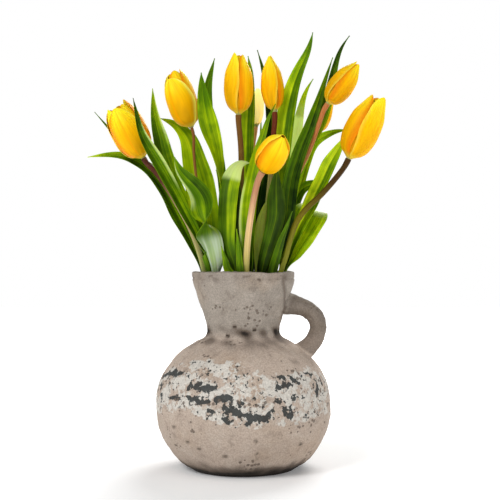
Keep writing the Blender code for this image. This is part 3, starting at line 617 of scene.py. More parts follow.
def stemPart(name, line):
    # A tube whose radius swells a little at the bloom and wanders by a few hundredths along it. Its
    # colour runs through the stem's three colours from the neck up.
    stem = stems[name]
    t = np.linspace(0, 1, len(line))
    swell = stemLook["swell"] * smoothStep(0.95, 1, t)
    wander = stemLook["wander"] * np.sin(9 * t + stem["radius"] * 5)
    radius = stem["radius"] * mm * (1 + swell + wander)
    radius *= 1 - stem.get("slim", 0.0) * smoothStep(0.5, 0.8, t)
    share = np.clip((line[:, 2] - jugRim * mm) / (line[-1, 2] - jugRim * mm), 0, 1)
    colours = np.array(stem["colours"])
    tone = np.stack([np.interp(share, [0, 0.5, 0.8], colours[:, channel]) for channel in range(3)], axis=1)
    return tubePart(line, radius, stemLook["sides"], tone, slot=1)


# Each leaf clasps its stem at the height low and follows its line to its tip. Wide is its full width,
# peak the place of it along the blade, faces the ways that its upper side turns from rim to tip, cup
# the half angle of its trough and wave the height of its edge waves in mm. Light is the painted light
# and shade at the rim, along its two halves and at its tip, from -1 in the dark of the bunch to 1 in
# full sun; two more numbers are for the halves further up. Margin is the side, start, end and strength
# of a pale rolled edge. Pale is the place where a blade isn't pale yet, the place from which it is, and
# how pale: places are shares of its length above the rim. Besides the blade's own paleness it paints
# light, brightening a blade that lies in shade, and from 0.85 up it makes the blade glow. Frost is how
# white its under side is near the rim.
leafLook = {
    "rows": 120, "columns": 25, "thick": 0.75, "crease": 0.35, "uneven": 0.03,
    "clasp": (14, 3.6),  # how far above its foot a leaf leaves the stem, and how far off it then is, in mm
    "footHalfWidth": 1.6, "neckHalfWidth": 5.0, "tipHalfWidth": 0.5, "lightStops": (0, 0.3, 0.75, 1),
}
leaves = {
    "a": (
        {"low": 150, "wide": 18, "peak": 0.62, "cup": 0.5, "wave": 1.0, "light": (-0.5, -0.45, -0.1, 0.75),
         "faces": ((0.5, -0.75, 0.4), (0.1, -0.85, 0.5)),
         "line": ((203, 270, 2), (194, 249, 4), (184, 228, 5), (176, 213, 6), (170.5, 201, 7),
         (163.5, 188, 6.5), (155, 176, 7.5), (146, 167.5, 10), (137, 161.5, 13), (126, 156.5, 14),
         (112, 154.8, 13), (100, 155.6, 12), (87.5, 157.2, 10))},
        {"low": 158, "wide": 16, "peak": 0.7, "cup": 0.6, "wave": 0.5, "light": (-0.4, -0.3, 0.05, -0.8),
         "margin": (1, 0.5, 0.85, 0.8), "faces": ((0.6, -0.8, 0.1), (0.7, -0.7, 0)),
         "line": ((210, 270, -14), (204, 252, -15), (196, 234, -15), (185, 213, -14), (174, 192, -15),
         (164.5, 175, -18), (156.5, 161, -20), (149, 148.5, -22), (141.8, 135, -25), (138, 123, -28),
         (135.5, 110, -30), (133, 98, -31))},
        {"low": 146, "wide": 28, "peak": 0.66, "cup": 0.85, "wave": 2.2, "light": (0.1, 0.15, -0.4, 0.1),
         "margin": (-1, 0.55, 0.95, 0.75), "frost": 0.9, "faces": ((0.3, 1, 0.1), (0.3, 1, 0.1),
         (-0.95, 0.1, 0.3), (-0.3, -1, 0.2), (-0.3, -1, 0.2), (-0.3, -1, 0.2), (-0.2, -1, 0.3)),
         "line": ((216, 270, -19), (213, 250, -25), (209, 235, -29), (206, 221, -32), (205.5, 209, -33),
         (203, 198, -31), (196, 187.5, -29), (186.5, 178, -27), (179, 169, -26), (174.6, 157, -25))},
    ),
    "b": (
        {"low": 160, "wide": 10, "peak": 0.7, "cup": 0.5, "wave": 0.5, "light": (-0.6, -0.4, -0.3, -0.2),
         "faces": ((0.5, -0.7, 0.5), (0.3, -0.6, 0.7)),
         "line": ((211, 270, 22), (199, 245, 26), (184, 220, 29), (167, 195, 30), (148, 172, 30),
         (128, 150, 30), (110, 130, 29), (94.5, 112, 27))},
        {"low": 150, "wide": 22.5, "peak": 0.66, "cup": 0.45, "wave": 1.4,
         "light": (-0.8, -0.2, 0.3, 0.25), "margin": (1, 0.74, 1, 0.75),
         "faces": ((0.6, -0.8, 0.2), (0.45, -0.9, 0)),
         "line": ((210, 270, 13), (205, 250, 18), (195, 228, 22), (184, 207, 24), (174, 187, 24),
         (167, 168, 21.5), (163, 154, 17), (160, 139, 12), (156.8, 126.5, 9), (154.3, 114, 7),
         (153.2, 101.6, 6), (152.6, 88.5, 5))},
        {"low": 154, "wide": 32, "peak": 0.62, "cup": 0.4, "wave": 1.4, "light": (-0.7, 0.8, 0.3, 0.4),
         "faces": ((0.1, -1, 0.2), (0, -0.85, 0.5)),
         "line": ((215, 270, 26), (208, 240, 27), (204, 210, 27), (199.5, 184, 26), (193.8, 160, 25),
         (189, 141, 25), (181, 129.5, 25), (171, 122.5, 24), (159.8, 118.3, 21))},
    ),
    "c": (
        {"low": 148, "wide": 21, "peak": 0.8, "cup": 0.4, "wave": 0.8, "light": (-0.3, 0.55, 0.4, -0.2),
         "faces": ((1, -0.15, 0), (1, -0.25, 0), (0.5, -0.85, 0), (0.1, -1, 0)),
         "line": ((228, 270, 2), (226, 236, -1), (223.5, 204, -4), (221.2, 186, -6), (218.7, 170, -8),
         (216.1, 155, -9), (213.2, 143, -10), (209.8, 132, -11), (207, 121, -11), (204.9, 110, -12),
         (203.2, 98.5, -12), (201.7, 84, -12), (201.2, 72.5, -12))},
        {"low": 156, "wide": 12.5, "peak": 0.82, "cup": 0.5, "wave": 0.8,
         "light": (-0.6, -0.3, -0.1, -0.3), "faces": ((0.4, -1, 0), (0.4, -0.9, 0)),
         "line": ((231, 270, 11), (228, 235, 13), (223.5, 192, 13), (220, 165, 12), (215.5, 143, 10),
         (208, 118, 8), (206.5, 100, 6), (207.9, 86, 5), (210, 75, 4), (212.3, 67, 3), (214.6, 58.3, 2))},
        {"low": 152, "wide": 15, "peak": 0.78, "cup": 0.4, "wave": 0.8, "light": (-0.6, 0.65, 0.0, 0.3),
         "faces": ((0, -1, 0), (0.2, -1, 0)),
         "line": ((241, 270, 13), (243, 235, 15), (245.5, 200, 17), (246.3, 165, 18), (246.8, 140, 19),
         (247.3, 122, 19), (248.3, 104, 19), (249.8, 86, 18), (250.3, 70, 18), (248, 56, 17))},
        {"low": 162, "wide": 15, "cup": 0.6, "wave": 1.0, "light": (-1, -0.8, -0.9, -0.6),
         "faces": ((0, 1, 0), (-0.2, 1, 0)),
         "line": ((241, 270, -5), (241, 240, -7), (240, 215, -8), (239, 195, -8), (238, 174, -7))},
    ),
    "d": (
        {"low": 150, "wide": 20, "cup": 0.5, "wave": 1.0, "light": (-0.8, -0.9, -0.3, -0.4),
         "faces": ((0, -1, 0), (0.3, -1, 0)),
         "line": ((258, 270, 19), (262, 235, 22), (267, 200, 24), (270, 165, 25), (272, 130, 25),
         (269, 100, 24), (263, 70, 22), (257.3, 50, 20))},
        {"low": 158, "wide": 20, "peak": 0.72, "cup": 0.5, "wave": 0.8, "light": (-0.7, 0.9, 0.05, -0.2),
         "faces": ((-0.35, -0.95, 0), (-0.3, -0.95, 0)),
         "line": ((265, 270, 12), (269, 235, 13), (274, 205, 14), (279, 180, 14), (282, 155, 13),
         (284, 135, 13), (286.5, 115, 13), (290.2, 97, 12.5), (293.5, 85, 11), (296.9, 75.5, 8),
         (302.2, 63, 6), (306.8, 54.3, 5), (310.4, 44.5, 3), (312.8, 32.3, 2))},
        {"low": 150, "wide": 19, "peak": 0.8, "cup": 0.6, "wave": 1.0, "light": (-1, -0.55, -0.75, -0.6),
         "faces": ((0, 1, 0), (-0.1, 1, 0)),
         "line": ((262, 270, -9), (267, 250, -12), (271.5, 235, -14), (275.8, 218, -16), (276.3, 203, -16),
         (276, 187, -16), (277, 168, -15))},
        # this blade lies in shade: its high light and its paleness are painted light
        {"low": 164, "wide": 10.5, "peak": 0.75, "cup": 0.6, "wave": 0.4, "light": (1, 1.5, 1.5, 1.5),
         "paleAndPaintedLight": (-0.2, -0.1, 0.4), "faces": ((0.3, 1, 0), (0.2, 1, 0)),
         "line": ((257.5, 270, 2), (258, 250, 0), (259, 235, -1), (260.5, 222, -1), (263.5, 210, 0),
         (267, 200, 1))},
    ),
    "e": (
        {"low": 150, "wide": 21, "peak": 0.82, "cup": 0.5, "wave": 1.2, "light": (-0.9, -0.3, 0.55, 0.3),
         "paleAndPaintedLight": (0.74, 0.79, 0.8),
         "faces": ((0.3, 1, 0), (0.3, 1, 0), (0.2, 0.9, -0.35), (0.1, 0.9, -0.45)),
         "line": ((236, 270, -21), (231.5, 256, -22), (227.5, 243, -22), (226.5, 228, -22),
         (226.5, 213, -21), (227.3, 198, -20), (229.3, 183, -18), (234.3, 169.5, -16), (241, 162.5, -13),
         (249.5, 163, -10))},
        {"low": 156, "wide": 17, "cup": 0.5, "wave": 1.0, "light": (-0.7, 0.45, 0.15, -0.1),
         "margin": (-1, 0.2, 0.5, 0.7), "faces": ((-0.2, -1, 0), (-0.2, -1, 0)),
         "line": ((250, 270, -20), (248.5, 250, -19), (247.5, 230, -18), (247.5, 212, -17),
         (249, 195, -17), (252, 178, -16), (255.5, 162, -15), (258.5, 150, -15), (261.5, 140, -14),
         (264.8, 130, -14), (267.9, 119, -13), (271.5, 112, -13), (275.5, 104, -12))},
        {"low": 164, "wide": 8, "cup": 0.6, "wave": 0.3, "light": (-0.4, 0.25, 0.2, 0.2),
         "faces": ((0.3, 1, 0), (0.2, 1, 0)),
         "line": ((240, 270, -31), (238.5, 250, -31), (236.5, 229, -30))},
        {"low": 168, "wide": 10.5, "peak": 0.35, "cup": 0.4, "wave": 0.3, "light": (0.1, 0.25, 0.1, 0.25),
         "faces": ((0.1, 1, 0), (0.1, 1, 0)),
         "line": ((228, 270, -27), (225.5, 261, -29), (223, 253, -30), (221.5, 246, -30))},
    ),
    "f": (
        {"low": 148, "wide": 17.5, "peak": 0.48, "cup": 0.45, "wave": 1.0,
         "light": (-1, -0.6, -1, 0, 0.15, -0.55), "faces": ((0.2, -1, 0), (0.1, -0.95, 0)),
         "line": ((270.5, 270, 4), (275.5, 256, -1), (281.5, 240, -4), (286.5, 218, -7), (288.5, 196, -7),
         (291.5, 177, -7), (295.7, 163, -7), (301.5, 146, -7), (306.5, 134.5, -7), (310.3, 124.5, -5),
         (313.8, 114, -2), (317.5, 104, 1), (320.8, 94, 4), (323.8, 84, 6), (326.7, 75.5, 7),
         (329.8, 66, 7), (332.8, 57.3, 7))},
        {"low": 158, "wide": 10, "cup": 0.6, "wave": 0.4, "light": (-0.8, -0.35, -0.55, -0.3),
         "faces": ((0, 1, 0), (-0.2, 1, 0)),
         "line": ((273, 270, -11), (277, 255, -16), (281.5, 240, -19), (287, 226, -20), (292.5, 211, -20))},
    ),
    "g": (
        {"low": 152, "wide": 35, "peak": 0.76, "cup": 0.3, "wave": 1.2, "light": (0.05, 0.45, 0.5, 0.6),
         "paleAndPaintedLight": (0.64, 0.74, 0.8),
         "faces": ((-0.6, -0.7, 0.3), (-0.2, -0.9, 0.3), (0.35, -0.3, 0.85), (0.3, 0.85, 0.4)),
         "line": ((285, 268, -2), (292, 252, 2), (300, 235, 4), (307.5, 220, 7), (312, 212, 12),
         (314, 209.5, 20), (314.5, 214, 30), (313.5, 222, 37))},
        {"low": 160, "wide": 17.5, "peak": 0.82, "cup": 0.4, "wave": 0.8, "light": (-0.8, 0.8, 0.05, 0.6),
         "faces": ((-0.4, -0.9, 0.2), (-0.45, -0.85, 0.25)),
         "line": ((287, 262, -4), (292, 245, -4), (298, 230, -5), (304.5, 217, -6), (310.5, 205, -7),
         (316.5, 192, -8), (322, 181, -8), (326, 172, -9), (330, 163, -9), (336, 153, -9), (341, 144, -9),
         (346, 136, -9))},
    ),
    "h": (
        {"low": 154, "wide": 9, "cup": 0.5, "wave": 0.4, "light": (-0.3, 0.5, 0.5, 0.5),
         "faces": ((0, -1, 0), (0, -1, 0)),
         "line": ((250, 270, 36), (254, 220, 42), (258, 175, 47), (260.5, 145, 49), (261, 113, 49))},
        {"low": 150, "wide": 20, "cup": 0.4, "wave": 1.8, "light": (-0.5, 0.3, 0.1, 0.2),
         "faces": ((0, -0.8, 0.4), (0, 0, 1)),
         "line": ((239, 270, 40), (232, 235, 50), (226, 205, 63), (221, 182, 80), (216, 170, 98))},
        {"low": 160, "wide": 18, "cup": 0.5, "wave": 1.2, "light": (-0.6, 0.1, 0.3, 0.2),
         "faces": ((0, -1, 0.3), (0, -1, 0.3)),
         "line": ((251, 270, 43), (257, 230, 54), (263, 190, 64), (268, 150, 72), (271, 120, 77))},
    ),
    "i": (
        # this blade's paleness runs to 1, so most of it glows with painted light
        {"low": 152, "wide": 19, "peak": 0.6, "cup": 0.5, "wave": 0.8, "light": (-0.3, 1, 1, 0.4),
         "paleAndPaintedLight": (0.9, 0.78, 1), "faces": ((-0.2, -1, 0), (-0.3, -0.95, 0)),
         "line": ((266, 270, 29), (275, 235, 41), (284, 200, 48), (291, 165, 50), (295.5, 140, 50),
         (298.3, 124, 50), (301, 108, 49), (304.5, 95, 47), (308.5, 86, 45), (313.3, 78.8, 43))},
        {"low": 158, "wide": 12, "peak": 0.74, "cup": 0.5, "wave": 0.8, "light": (-0.7, -0.2, 0.25, -0.85),
         "faces": ((-0.1, -1, 0), (-0.3, -0.9, 0)),
         "line": ((277, 270, 20), (284, 235, 19), (291, 205, 17), (298, 175, 14), (306, 151, 10),
         (311.3, 140, 8.5), (315.7, 132, 8), (320.3, 124, 8.5), (324, 114, 9.5), (328, 100, 11),
         (331, 86, 12), (333.8, 72.5, 12), (336.3, 62, 11), (339.4, 52, 10), (343, 44.5, 9),
         (349.6, 35.7, 8))},
        {"low": 164, "wide": 17, "peak": 0.72, "cup": 0.45, "wave": 0.8, "light": (-0.6, 0.85, 0.6, 0.35),
         "faces": ((-0.4, -0.9, 0.2), (0, -0.95, 0.3)),
         "line": ((272.5, 268, 29), (284, 240, 36), (291.5, 212, 40), (297.5, 186, 41), (302.5, 165, 39),
         (309, 149.5, 36), (316, 141, 32), (323.5, 136.5, 27), (331.5, 132.8, 24), (340, 130.5, 21),
         (348.5, 130, 18))},
        {"low": 150, "wide": 18, "peak": 0.7, "cup": 0.7, "wave": 0.6, "light": (-0.7, 0.25, 0.05, 0.2),
         "faces": ((-0.3, -0.9, 0.2), (0, -0.97, 0.2)),
         "line": ((273, 270, 14), (279, 248, 19), (285, 227, 23), (291, 208, 25), (296.5, 196, 24),
         (303, 188, 20), (311, 184.5, 16), (320, 182, 12), (329, 177.3, 9))},
    ),
}


def leafWidths(t, peak):
    # share of the full width: a clasping foot, its widest at peak and a drawn-out tip
    rise = 0.4 + 0.6 * np.sin(np.pi / 2 * np.clip(t / peak, 0, 1)) ** 2
    fall = (1 - np.clip((t - peak) / (1 - peak), 0, 1) ** 1.2) ** 0.85
    return rise * fall


def leafLight(leaf, line, side, u):
    # How much painted light, how pale and how frosted each place of a blade is; paleness also paints light
    # on some blades. The painted light runs from the rim's value through the two halves' values to the
    # tip's, the halves parted at the midrib as the camera sees them.
    rim, left, right, tip, *high = leaf["light"]
    highLeft, highRight = high or (left, right)
    along = np.linspace(0, 1, len(line))
    crossing = np.interp(jugRim * mm, line[:, 2], along)
    g = np.clip((along - crossing) / (1 - crossing), 0, 1)[:, None]
    way = 1 if side[int(len(line) * 0.7), 0] > 0 else -1
    onLeft, onRight = (np.interp(g, leafLook["lightStops"], [rim, low, up, tip])
                       for low, up in ((left, highLeft), (right, highRight)))
    bright = onLeft + (onRight - onLeft) * smoothStep(-0.1, 0.1, u * way)
    paleAndPaintedLight = np.zeros_like(bright)
    if "margin" in leaf:
        edge, start, end, strength = leaf["margin"]
        run = smoothStep(start - 0.06, start + 0.06, g) * (1 - smoothStep(end - 0.06, end + 0.06, g))
        paleAndPaintedLight = strength * run * smoothStep(0.6, 0.85, u * way * edge)
    if "paleAndPaintedLight" in leaf:
        start, end, most = leaf["paleAndPaintedLight"]
        paleAndPaintedLight = np.maximum(paleAndPaintedLight, most * smoothStep(start, end, g))
    frost = leaf.get("frost", 0.0) * (1 - smoothStep(0.24, 0.34, g))
    return np.stack([bright, paleAndPaintedLight, frost + 0 * bright], axis=-1)


def leafPart(leaf, stem, seed):
    # A trough along a curve: across, the blade is an arc of the half angle cup about a centre on its
    # upper side. Its edges rise and fall in waves that grow with the square of the place across.
    draw = np.random.default_rng(seed)
    rows = leafLook["rows"]
    low = leaf["low"] * mm
    above, away = leafLook["clasp"]

    def stemAt(height):
        # the point of the stem's low part at a height
        return np.array([np.interp(height, stem[:40, 2], stem[:40, axis]) for axis in range(3)])

    first = seenAt(leaf["line"][0])
    outward = unit((first - stemAt(first[2])) * (1, 1, 0))
    points = [stemAt(low), stemAt(low + above * mm) + outward * away * mm]
    points += [seenAt(at) for at in leaf["line"]]
    line = softened(smoothLine(points, rows), 14)
    t = np.linspace(0, 1, rows)
    turns = np.vstack([-outward, -outward] + [np.array(face, float) for face in leaf["faces"]])
    stops = np.concatenate([[0, 0.15], np.linspace(0.35, 1, len(leaf["faces"]))])
    face = softened(np.stack([np.interp(t, stops, turns[:, axis]) for axis in range(3)], axis=1), 60)
    tangent = unit(np.gradient(line, axis=0))
    face = unit(face - tangent * np.sum(face * tangent, axis=1, keepdims=True))
    side = np.cross(tangent, face)

    half = leaf["wide"] / 2 * mm * leafWidths(t, leaf.get("peak", 0.45))
    half *= 1 + leafLook["uneven"] * np.sin(2 * np.pi * (draw.uniform(1.5, 2.5) * t + draw.uniform()))
    limit = leafLook["neckHalfWidth"] * mm + 0.5 * np.maximum(line[:, 2] - jugRim * mm, 0)
    half = np.maximum(softened(np.minimum(half, limit), 6), leafLook["tipHalfWidth"] * mm)
    half[0] = leafLook["footHalfWidth"] * mm
    bend = np.interp(t, [0, 0.12, 0.4, 1], [0.6, 1.5, leaf["cup"], leaf["cup"]])
    u = np.linspace(-1, 1, leafLook["columns"])[None]
    t = t[:, None]
    angle = bend[:, None] * u
    radius = (half / bend)[:, None]
    ripple = leaf["wave"] * np.sin(2 * np.pi * (2.5 * t + 0.35 * u)) * u**2
    ripple += 0.4 * leaf["wave"] * np.sin(2 * np.pi * (6.3 * t + 0.3 * u + draw.uniform())) * np.abs(u) ** 3
    ripple = ripple * mm * np.sin(np.pi * t)
    crease = -leafLook["crease"] * mm * np.exp(-(u / 0.09) ** 2) * np.clip(half[:, None] / (6 * mm), 0, 1)
    middle = (
        line[:, None]
        + side[:, None] * (radius * np.sin(angle))[..., None]
        + face[:, None] * (radius * (1 - np.cos(angle)) + ripple + crease)[..., None]
    )
    thick = leafLook["thick"] * mm * (1 - 0.5 * u**2) * (1 - 0.5 * t**3)
    blade = np.stack(np.broadcast_arrays(u / 2 + 0.5, t), axis=-1)
    return sheetPart(middle, thick, blade, leafLight(leaf, line, side, u))


print("leafy stems")
for count, name in enumerate(stems):
    line = stemLine(name)
    parts = [stemPart(name, line)]
    parts += [leafPart(leaf, line, 100 * count + number) for number, leaf in enumerate(leaves[name])]
    leafyStem = meshObject("leafyStem" + name.upper(), parts, [leafGreen, stemSkin])
    place(leafyStem, "leafy_stem_" + name, "foliage")


def petalPart(bloom, number, draw):
    # One petal of a closed bloom. Along, it follows the bloom's egg-shaped profile; across, it turns
    # about the bloom's axis through its half width over the radius. One edge lies over the next petal
    # and the other under it, its midrib is a shallow groove and its tip may lean out.
    look = bloomLook
    inner = number % 2 == 1
    wraps = bloom.get("wrap") == number
    tip, full, lap = bloom["tip"], bloom.get("full", 0), bloom.get("lap", 1)
    upper = ((0.83 + 0.25 * tip + 0.05 * full, 0.68), (0.45 + 0.6 * tip + 0.17 * full, 0.84), (tip, 1))
    profile = np.array(bloomProfile + upper) * (bloom["radius"], bloom["length"] * bloom["tall"][number])
    if inner:
        profile[:, 0] = np.maximum(profile[:, 0] - look["innerStep"], look["leastRadius"])
        profile[:, 1] *= look["innerLength"]
    line = smoothLine(profile, look["rows"])
    s = np.linspace(0, 1, look["rows"])[:, None]
    u = np.linspace(-1, 1, look["columns"])[None]
    widths = smoothLine(petalWidths, 60)
    half = bloom["radius"] * np.interp(s, widths[:, 0], widths[:, 1])
    half = half + bloom.get("blunt", 0) * smoothStep(0.8, 0.97, s)
    turn = math.radians(bloom["turn"] + 60 * number) + draw.uniform(-look["turnError"], look["turnError"])
    widest, wider, lift = look["wrapped"] if wraps else look["unwrapped"]
    angle = turn + np.clip(wider * half / np.maximum(line[:, :1], 1), 0, widest) * u
    phase, _ = draw.uniform(0, 1, 2)
    over = (lift + look["overlap"][inner] * lap * u) * smoothStep(0, 0.08, s)
    belly = look["belly"] * (1 - u**2) * np.sin(np.pi * s)
    groove = -look["groove"] * np.exp(-(u / 0.08) ** 2) * np.sqrt(1 - s)
    groove = groove * np.sin(np.pi * np.clip(s * 1.3, 0, 1))
    ruffle = look["ruffle"] * np.sin(2 * np.pi * (2.2 * s + phase)) * u**4 * smoothStep(0.2, 0.6, s)
    lean = bloom.get("spread", 0) * draw.uniform(*look["leans"]) * smoothStep(0.72, 1, s)
    out = line[:, :1] + over + belly + groove + ruffle + lean * (look["innerLean"] if inner else 1)
    middle = np.stack([out * np.cos(angle), out * np.sin(angle), np.broadcast_to(line[:, 1:], angle.shape)],
                      axis=-1)
    thick = look["thick"] * mm * (1 - 0.55 * u**2) * (1 - 0.35 * s)
    blade = np.stack(np.broadcast_arrays(lap * u / 2 + 0.5, s), axis=-1)
    shade = bloom.get("shade", 0) + draw.uniform(*look["shades"]) + (look["innerShade"] if inner else 0)
    shade = shade + look["sideShade"] * smoothStep(0.2, 0.9, np.cos(angle))
    # painted backlight: cream and glow, growing up the petal
    paintedBacklight = bloom.get("paleAndPaintedLight", 0) * smoothStep(0, 0.12, s) * (0.55 + 0.4 * s)
    margin = bloom.get("margin", look["margin"]) + 0 * u
    tone = np.stack(np.broadcast_arrays(shade, paintedBacklight, margin), axis=-1)
    return sheetPart(middle * mm, thick, blade, tone)


print("blooms")
for count, (name, bloom) in enumerate(blooms.items()):
    draw = np.random.default_rng(bloomLook["seed"] + count)
    core = np.array(coreProfile) * mm
    coreLine = smoothLine(core[:, 1:] * (0, 0, 1), 12)
    coreRadius = np.interp(coreLine[:, 2], core[:, 1], core[:, 0])
    parts = [tubePart(coreLine, coreRadius, 20, np.tile(bloomLook["coreColour"], (12, 1)), slot=1)]
    parts += [petalPart(bloom, number, draw) for number in range(6)]
    turn = np.array(Vector(bloom["axis"]).normalized().to_track_quat("Z", "Y").to_matrix())
    for part in parts:
        part["vertices"] = part["vertices"] @ turn.T + seenAt(stems[name]["top"])
    place(meshObject("bloom" + name.upper(), parts, [petalYellow, stemSkin]), "bloom_" + name, "petal")


# Outer radius and height of the jug in mm, from the edge of its foot up, and the middle line of its
# handle.
jugLook = {
    "profile": ((51.5, 0), (66, 10.5), (79, 28.5), (86, 47), (87, 62), (84, 82), (76, 100), (64, 113.5),
                (48, 124.5), (38.5, 130.5), (36.2, 137), (38.6, 150), (44.5, 167.5), (49.5, 181),
                (51, 186.5)),
    "belly": 87, "wall": 6.0, "floor": 8.0, "lip": 1.2, "around": 288, "rows": 130,
    "handleLine": ((40, 163.5), (52, 161.5), (63.5, 157.5), (71.5, 150), (74.6, 140), (72, 129),
                   (65, 119.5), (57, 112)),
    "handleThick": 16.4, "handleWide": 20.0, "handleFlare": 2.6,
}
# How far the jug's skin leaves the smooth form, in mm: lumps, smaller bumps, grain, the groove under the
# rim and its height, and the pits. Pits is their number.
jugSkin = {
    "seed": 5, "lumps": 0.55, "bumps": 0.22, "grain": 0.16, "mostIn": 1.6, "mostOut": 1.0,
    "groove": 188.6, "grooveDepth": 0.75,
    "pits": 150, "pitSizes": (0.9, 2.3), "pitDepth": 0.42, "deepestPit": 1.1,
}

# Marks on the jug, as the camera sees their places: the lime crust lies between two lines round the
# belly, slate shows where it broke off, and soil sits in the crease, at the rim and in small spots,
# while the long streak down the right of the neck is a painted shadow.
# Each mark has its points, its half width in mm and its strength.
crustLines = {
    "top": ((150, 385), (165.8, 372.7), (183, 362), (204.5, 357), (234.8, 360.6), (259, 372), (283, 372),
            (307.6, 365.5), (322, 374)),
    "low": ((150, 418), (162, 415), (186.4, 410), (204.5, 421), (228.8, 428), (253, 428.5), (271, 423.6),
            (295.5, 424.8), (322, 418)),
}
slateMarks = (
    (((161, 379), (171, 372), (181, 374)), 2.6, 1.0), (((162, 384), (163, 399)), 2.0, 0.9),
    (((170, 399), (179, 398)), 2.2, 0.9), (((191, 386), (200, 387.5), (212, 388.5)), 3.0, 1.0),
    (((189, 399), (198, 400), (208, 402)), 2.8, 1.0), (((216, 399.5), (230, 397)), 2.6, 1.0),
    (((239.7, 402), (241, 406)), 2.2, 0.9), (((223, 407), (228, 409)), 2.6, 1.0),
    (((232, 409), (240, 415), (248, 418), (258, 418), (268, 417.6)), 3.2, 1.0),
    (((224, 420), (230, 422)), 2.2, 0.9), (((247, 423), (252, 424)), 2.2, 0.9),
    (((208, 410), (213, 411)), 2.4, 1.0), (((279, 377), (284, 378)), 2.4, 0.9),
    (((291, 379), (299, 384)), 2.6, 1.0), (((277, 385.5), (290, 385)), 2.4, 0.9),
    (((306, 372), (311, 374)), 2.0, 0.8), (((293, 396), (295, 397)), 2.2, 0.9),
    (((277, 400), (280, 401.5)), 2.2, 0.9), (((285, 409), (289, 412), (291, 416)), 3.4, 1.0),
    (((317, 386), (316, 395)), 2.4, 0.9),
)
soilAndShadeMarks = (
    # the first mark, the long streak down the right of the neck, is a painted shadow; the others are soil
    (((283, 281), (284, 305), (282, 331)), 3.4, 0.5), (((209, 276.5), (213, 275.5)), 1.3, 0.5),
    (((243, 277), (250, 276)), 1.4, 0.5), (((258, 279.5), (260, 280)), 1.2, 0.8),
    (((280, 276), (286, 276.5)), 1.2, 0.5), (((253, 330), (256, 330)), 1.8, 1.0),
    (((233, 327), (236, 327.5)), 1.7, 1.0), (((226, 335.5), (229, 336.5)), 1.7, 1.0),
    (((223, 309), (223.5, 309.5)), 0.9, 0.8), (((235.5, 310), (236, 310.5)), 0.9, 0.8),
    (((250, 307), (250.5, 307.5)), 0.8, 0.7), (((263, 314), (263.5, 314)), 0.9, 0.8),
    (((248, 317), (248.5, 317)), 0.8, 0.7), (((255.5, 440), (256, 442)), 1.2, 0.7),
    (((256.7, 454), (257.5, 454)), 1.2, 0.7), (((224, 456), (227, 456)), 1.3, 0.7),
    (((198, 449), (200, 449)), 1.2, 0.7), (((187, 442), (189, 442)), 1.2, 0.7),
    (((173, 427), (175, 427)), 1.2, 0.7), (((299, 444), (301, 444)), 1.3, 0.7),
)


def jugOutline(rows):
    # radii and heights of the outer side, from the foot to the rim, in metres
    line = smoothLine(jugLook["profile"], rows)
    line[0] = jugLook["profile"][0]
    rim = np.linspace(line[-1], (line[-1, 0], jugRim - jugLook["lip"]), 9)[1:]
    return np.vstack([line, rim]) * mm


def innerOutline(outer, gap=0.0):
    # a wall's thickness inside the outer side, and gap further in, from the floor up
    tangent = unit(np.gradient(outer, axis=0))
    inward = np.stack([-tangent[:, 1], tangent[:, 0]], axis=1)
    inner = outer + inward * (jugLook["wall"] * mm + gap)
    floor = jugLook["floor"] * mm + gap
    inner = inner[inner[:, 1] > floor + 4 * mm]
    bend = np.linspace(0, 1, 8)[:-1, None]
    corner = np.array([inner[0, 0] - 4 * mm, floor])
    return np.vstack([(1 - bend) * corner + bend * inner[0], inner])


def cutOrJoin(piece, other, operation):
    # cuts the other piece from this one or joins the two, then takes the other away
    modifier = piece.modifiers.new(operation.title(), "BOOLEAN")
    modifier.operation = operation
    modifier.object = other
    modifier.solver = "MANIFOLD"
    graph = bpy.context.evaluated_depsgraph_get()
    mesh = bpy.data.meshes.new_from_object(piece.evaluated_get(graph))
    piece.modifiers.clear()
    piece.data = mesh
    bpy.data.objects.remove(other)


def onJug(across, down):
    # Where the camera's view meets the jug's front, as the arc to the right of the front at the belly's
    # radius and the height, both in mm: the depth is set from the radius there, over and over.
    profile = np.array(jugLook["profile"] + ((51, 196),))
    depth = -80.0
    for _ in range(20):
        x, _, z = seenAt((across, down, depth)) / mm
        radius = np.interp(z, profile[:, 1], profile[:, 0])
        depth = -math.sqrt(max(radius**2 - x**2, 1.0))
    return math.atan2(x, -depth) * jugLook["belly"], z


def markShare(arc, height, marks):
    # how much of the marks lies at each place: a soft step down from each mark's line over its width
    here = np.stack([arc, height], axis=1)
    share = np.zeros(len(here))
    for points, width, strength in marks:
        ends = np.array([onJug(*point) for point in points])
        best = np.full(len(here), 1e9)
        for start, end in zip(ends[:-1], ends[1:]):
            run = end - start
            along = np.clip(((here - start) @ run) / (run @ run), 0, 1)
            best = np.minimum(best, np.linalg.norm(here - start - along[:, None] * run, axis=1))
        share = np.maximum(share, strength * np.exp(-(best / width) ** 2))
    return share


def ringBand(height, middle, reach):
    # 1 at the middle height and less above and below it, in a bell curve
    return np.exp(-(((height - middle) / reach) ** 2))


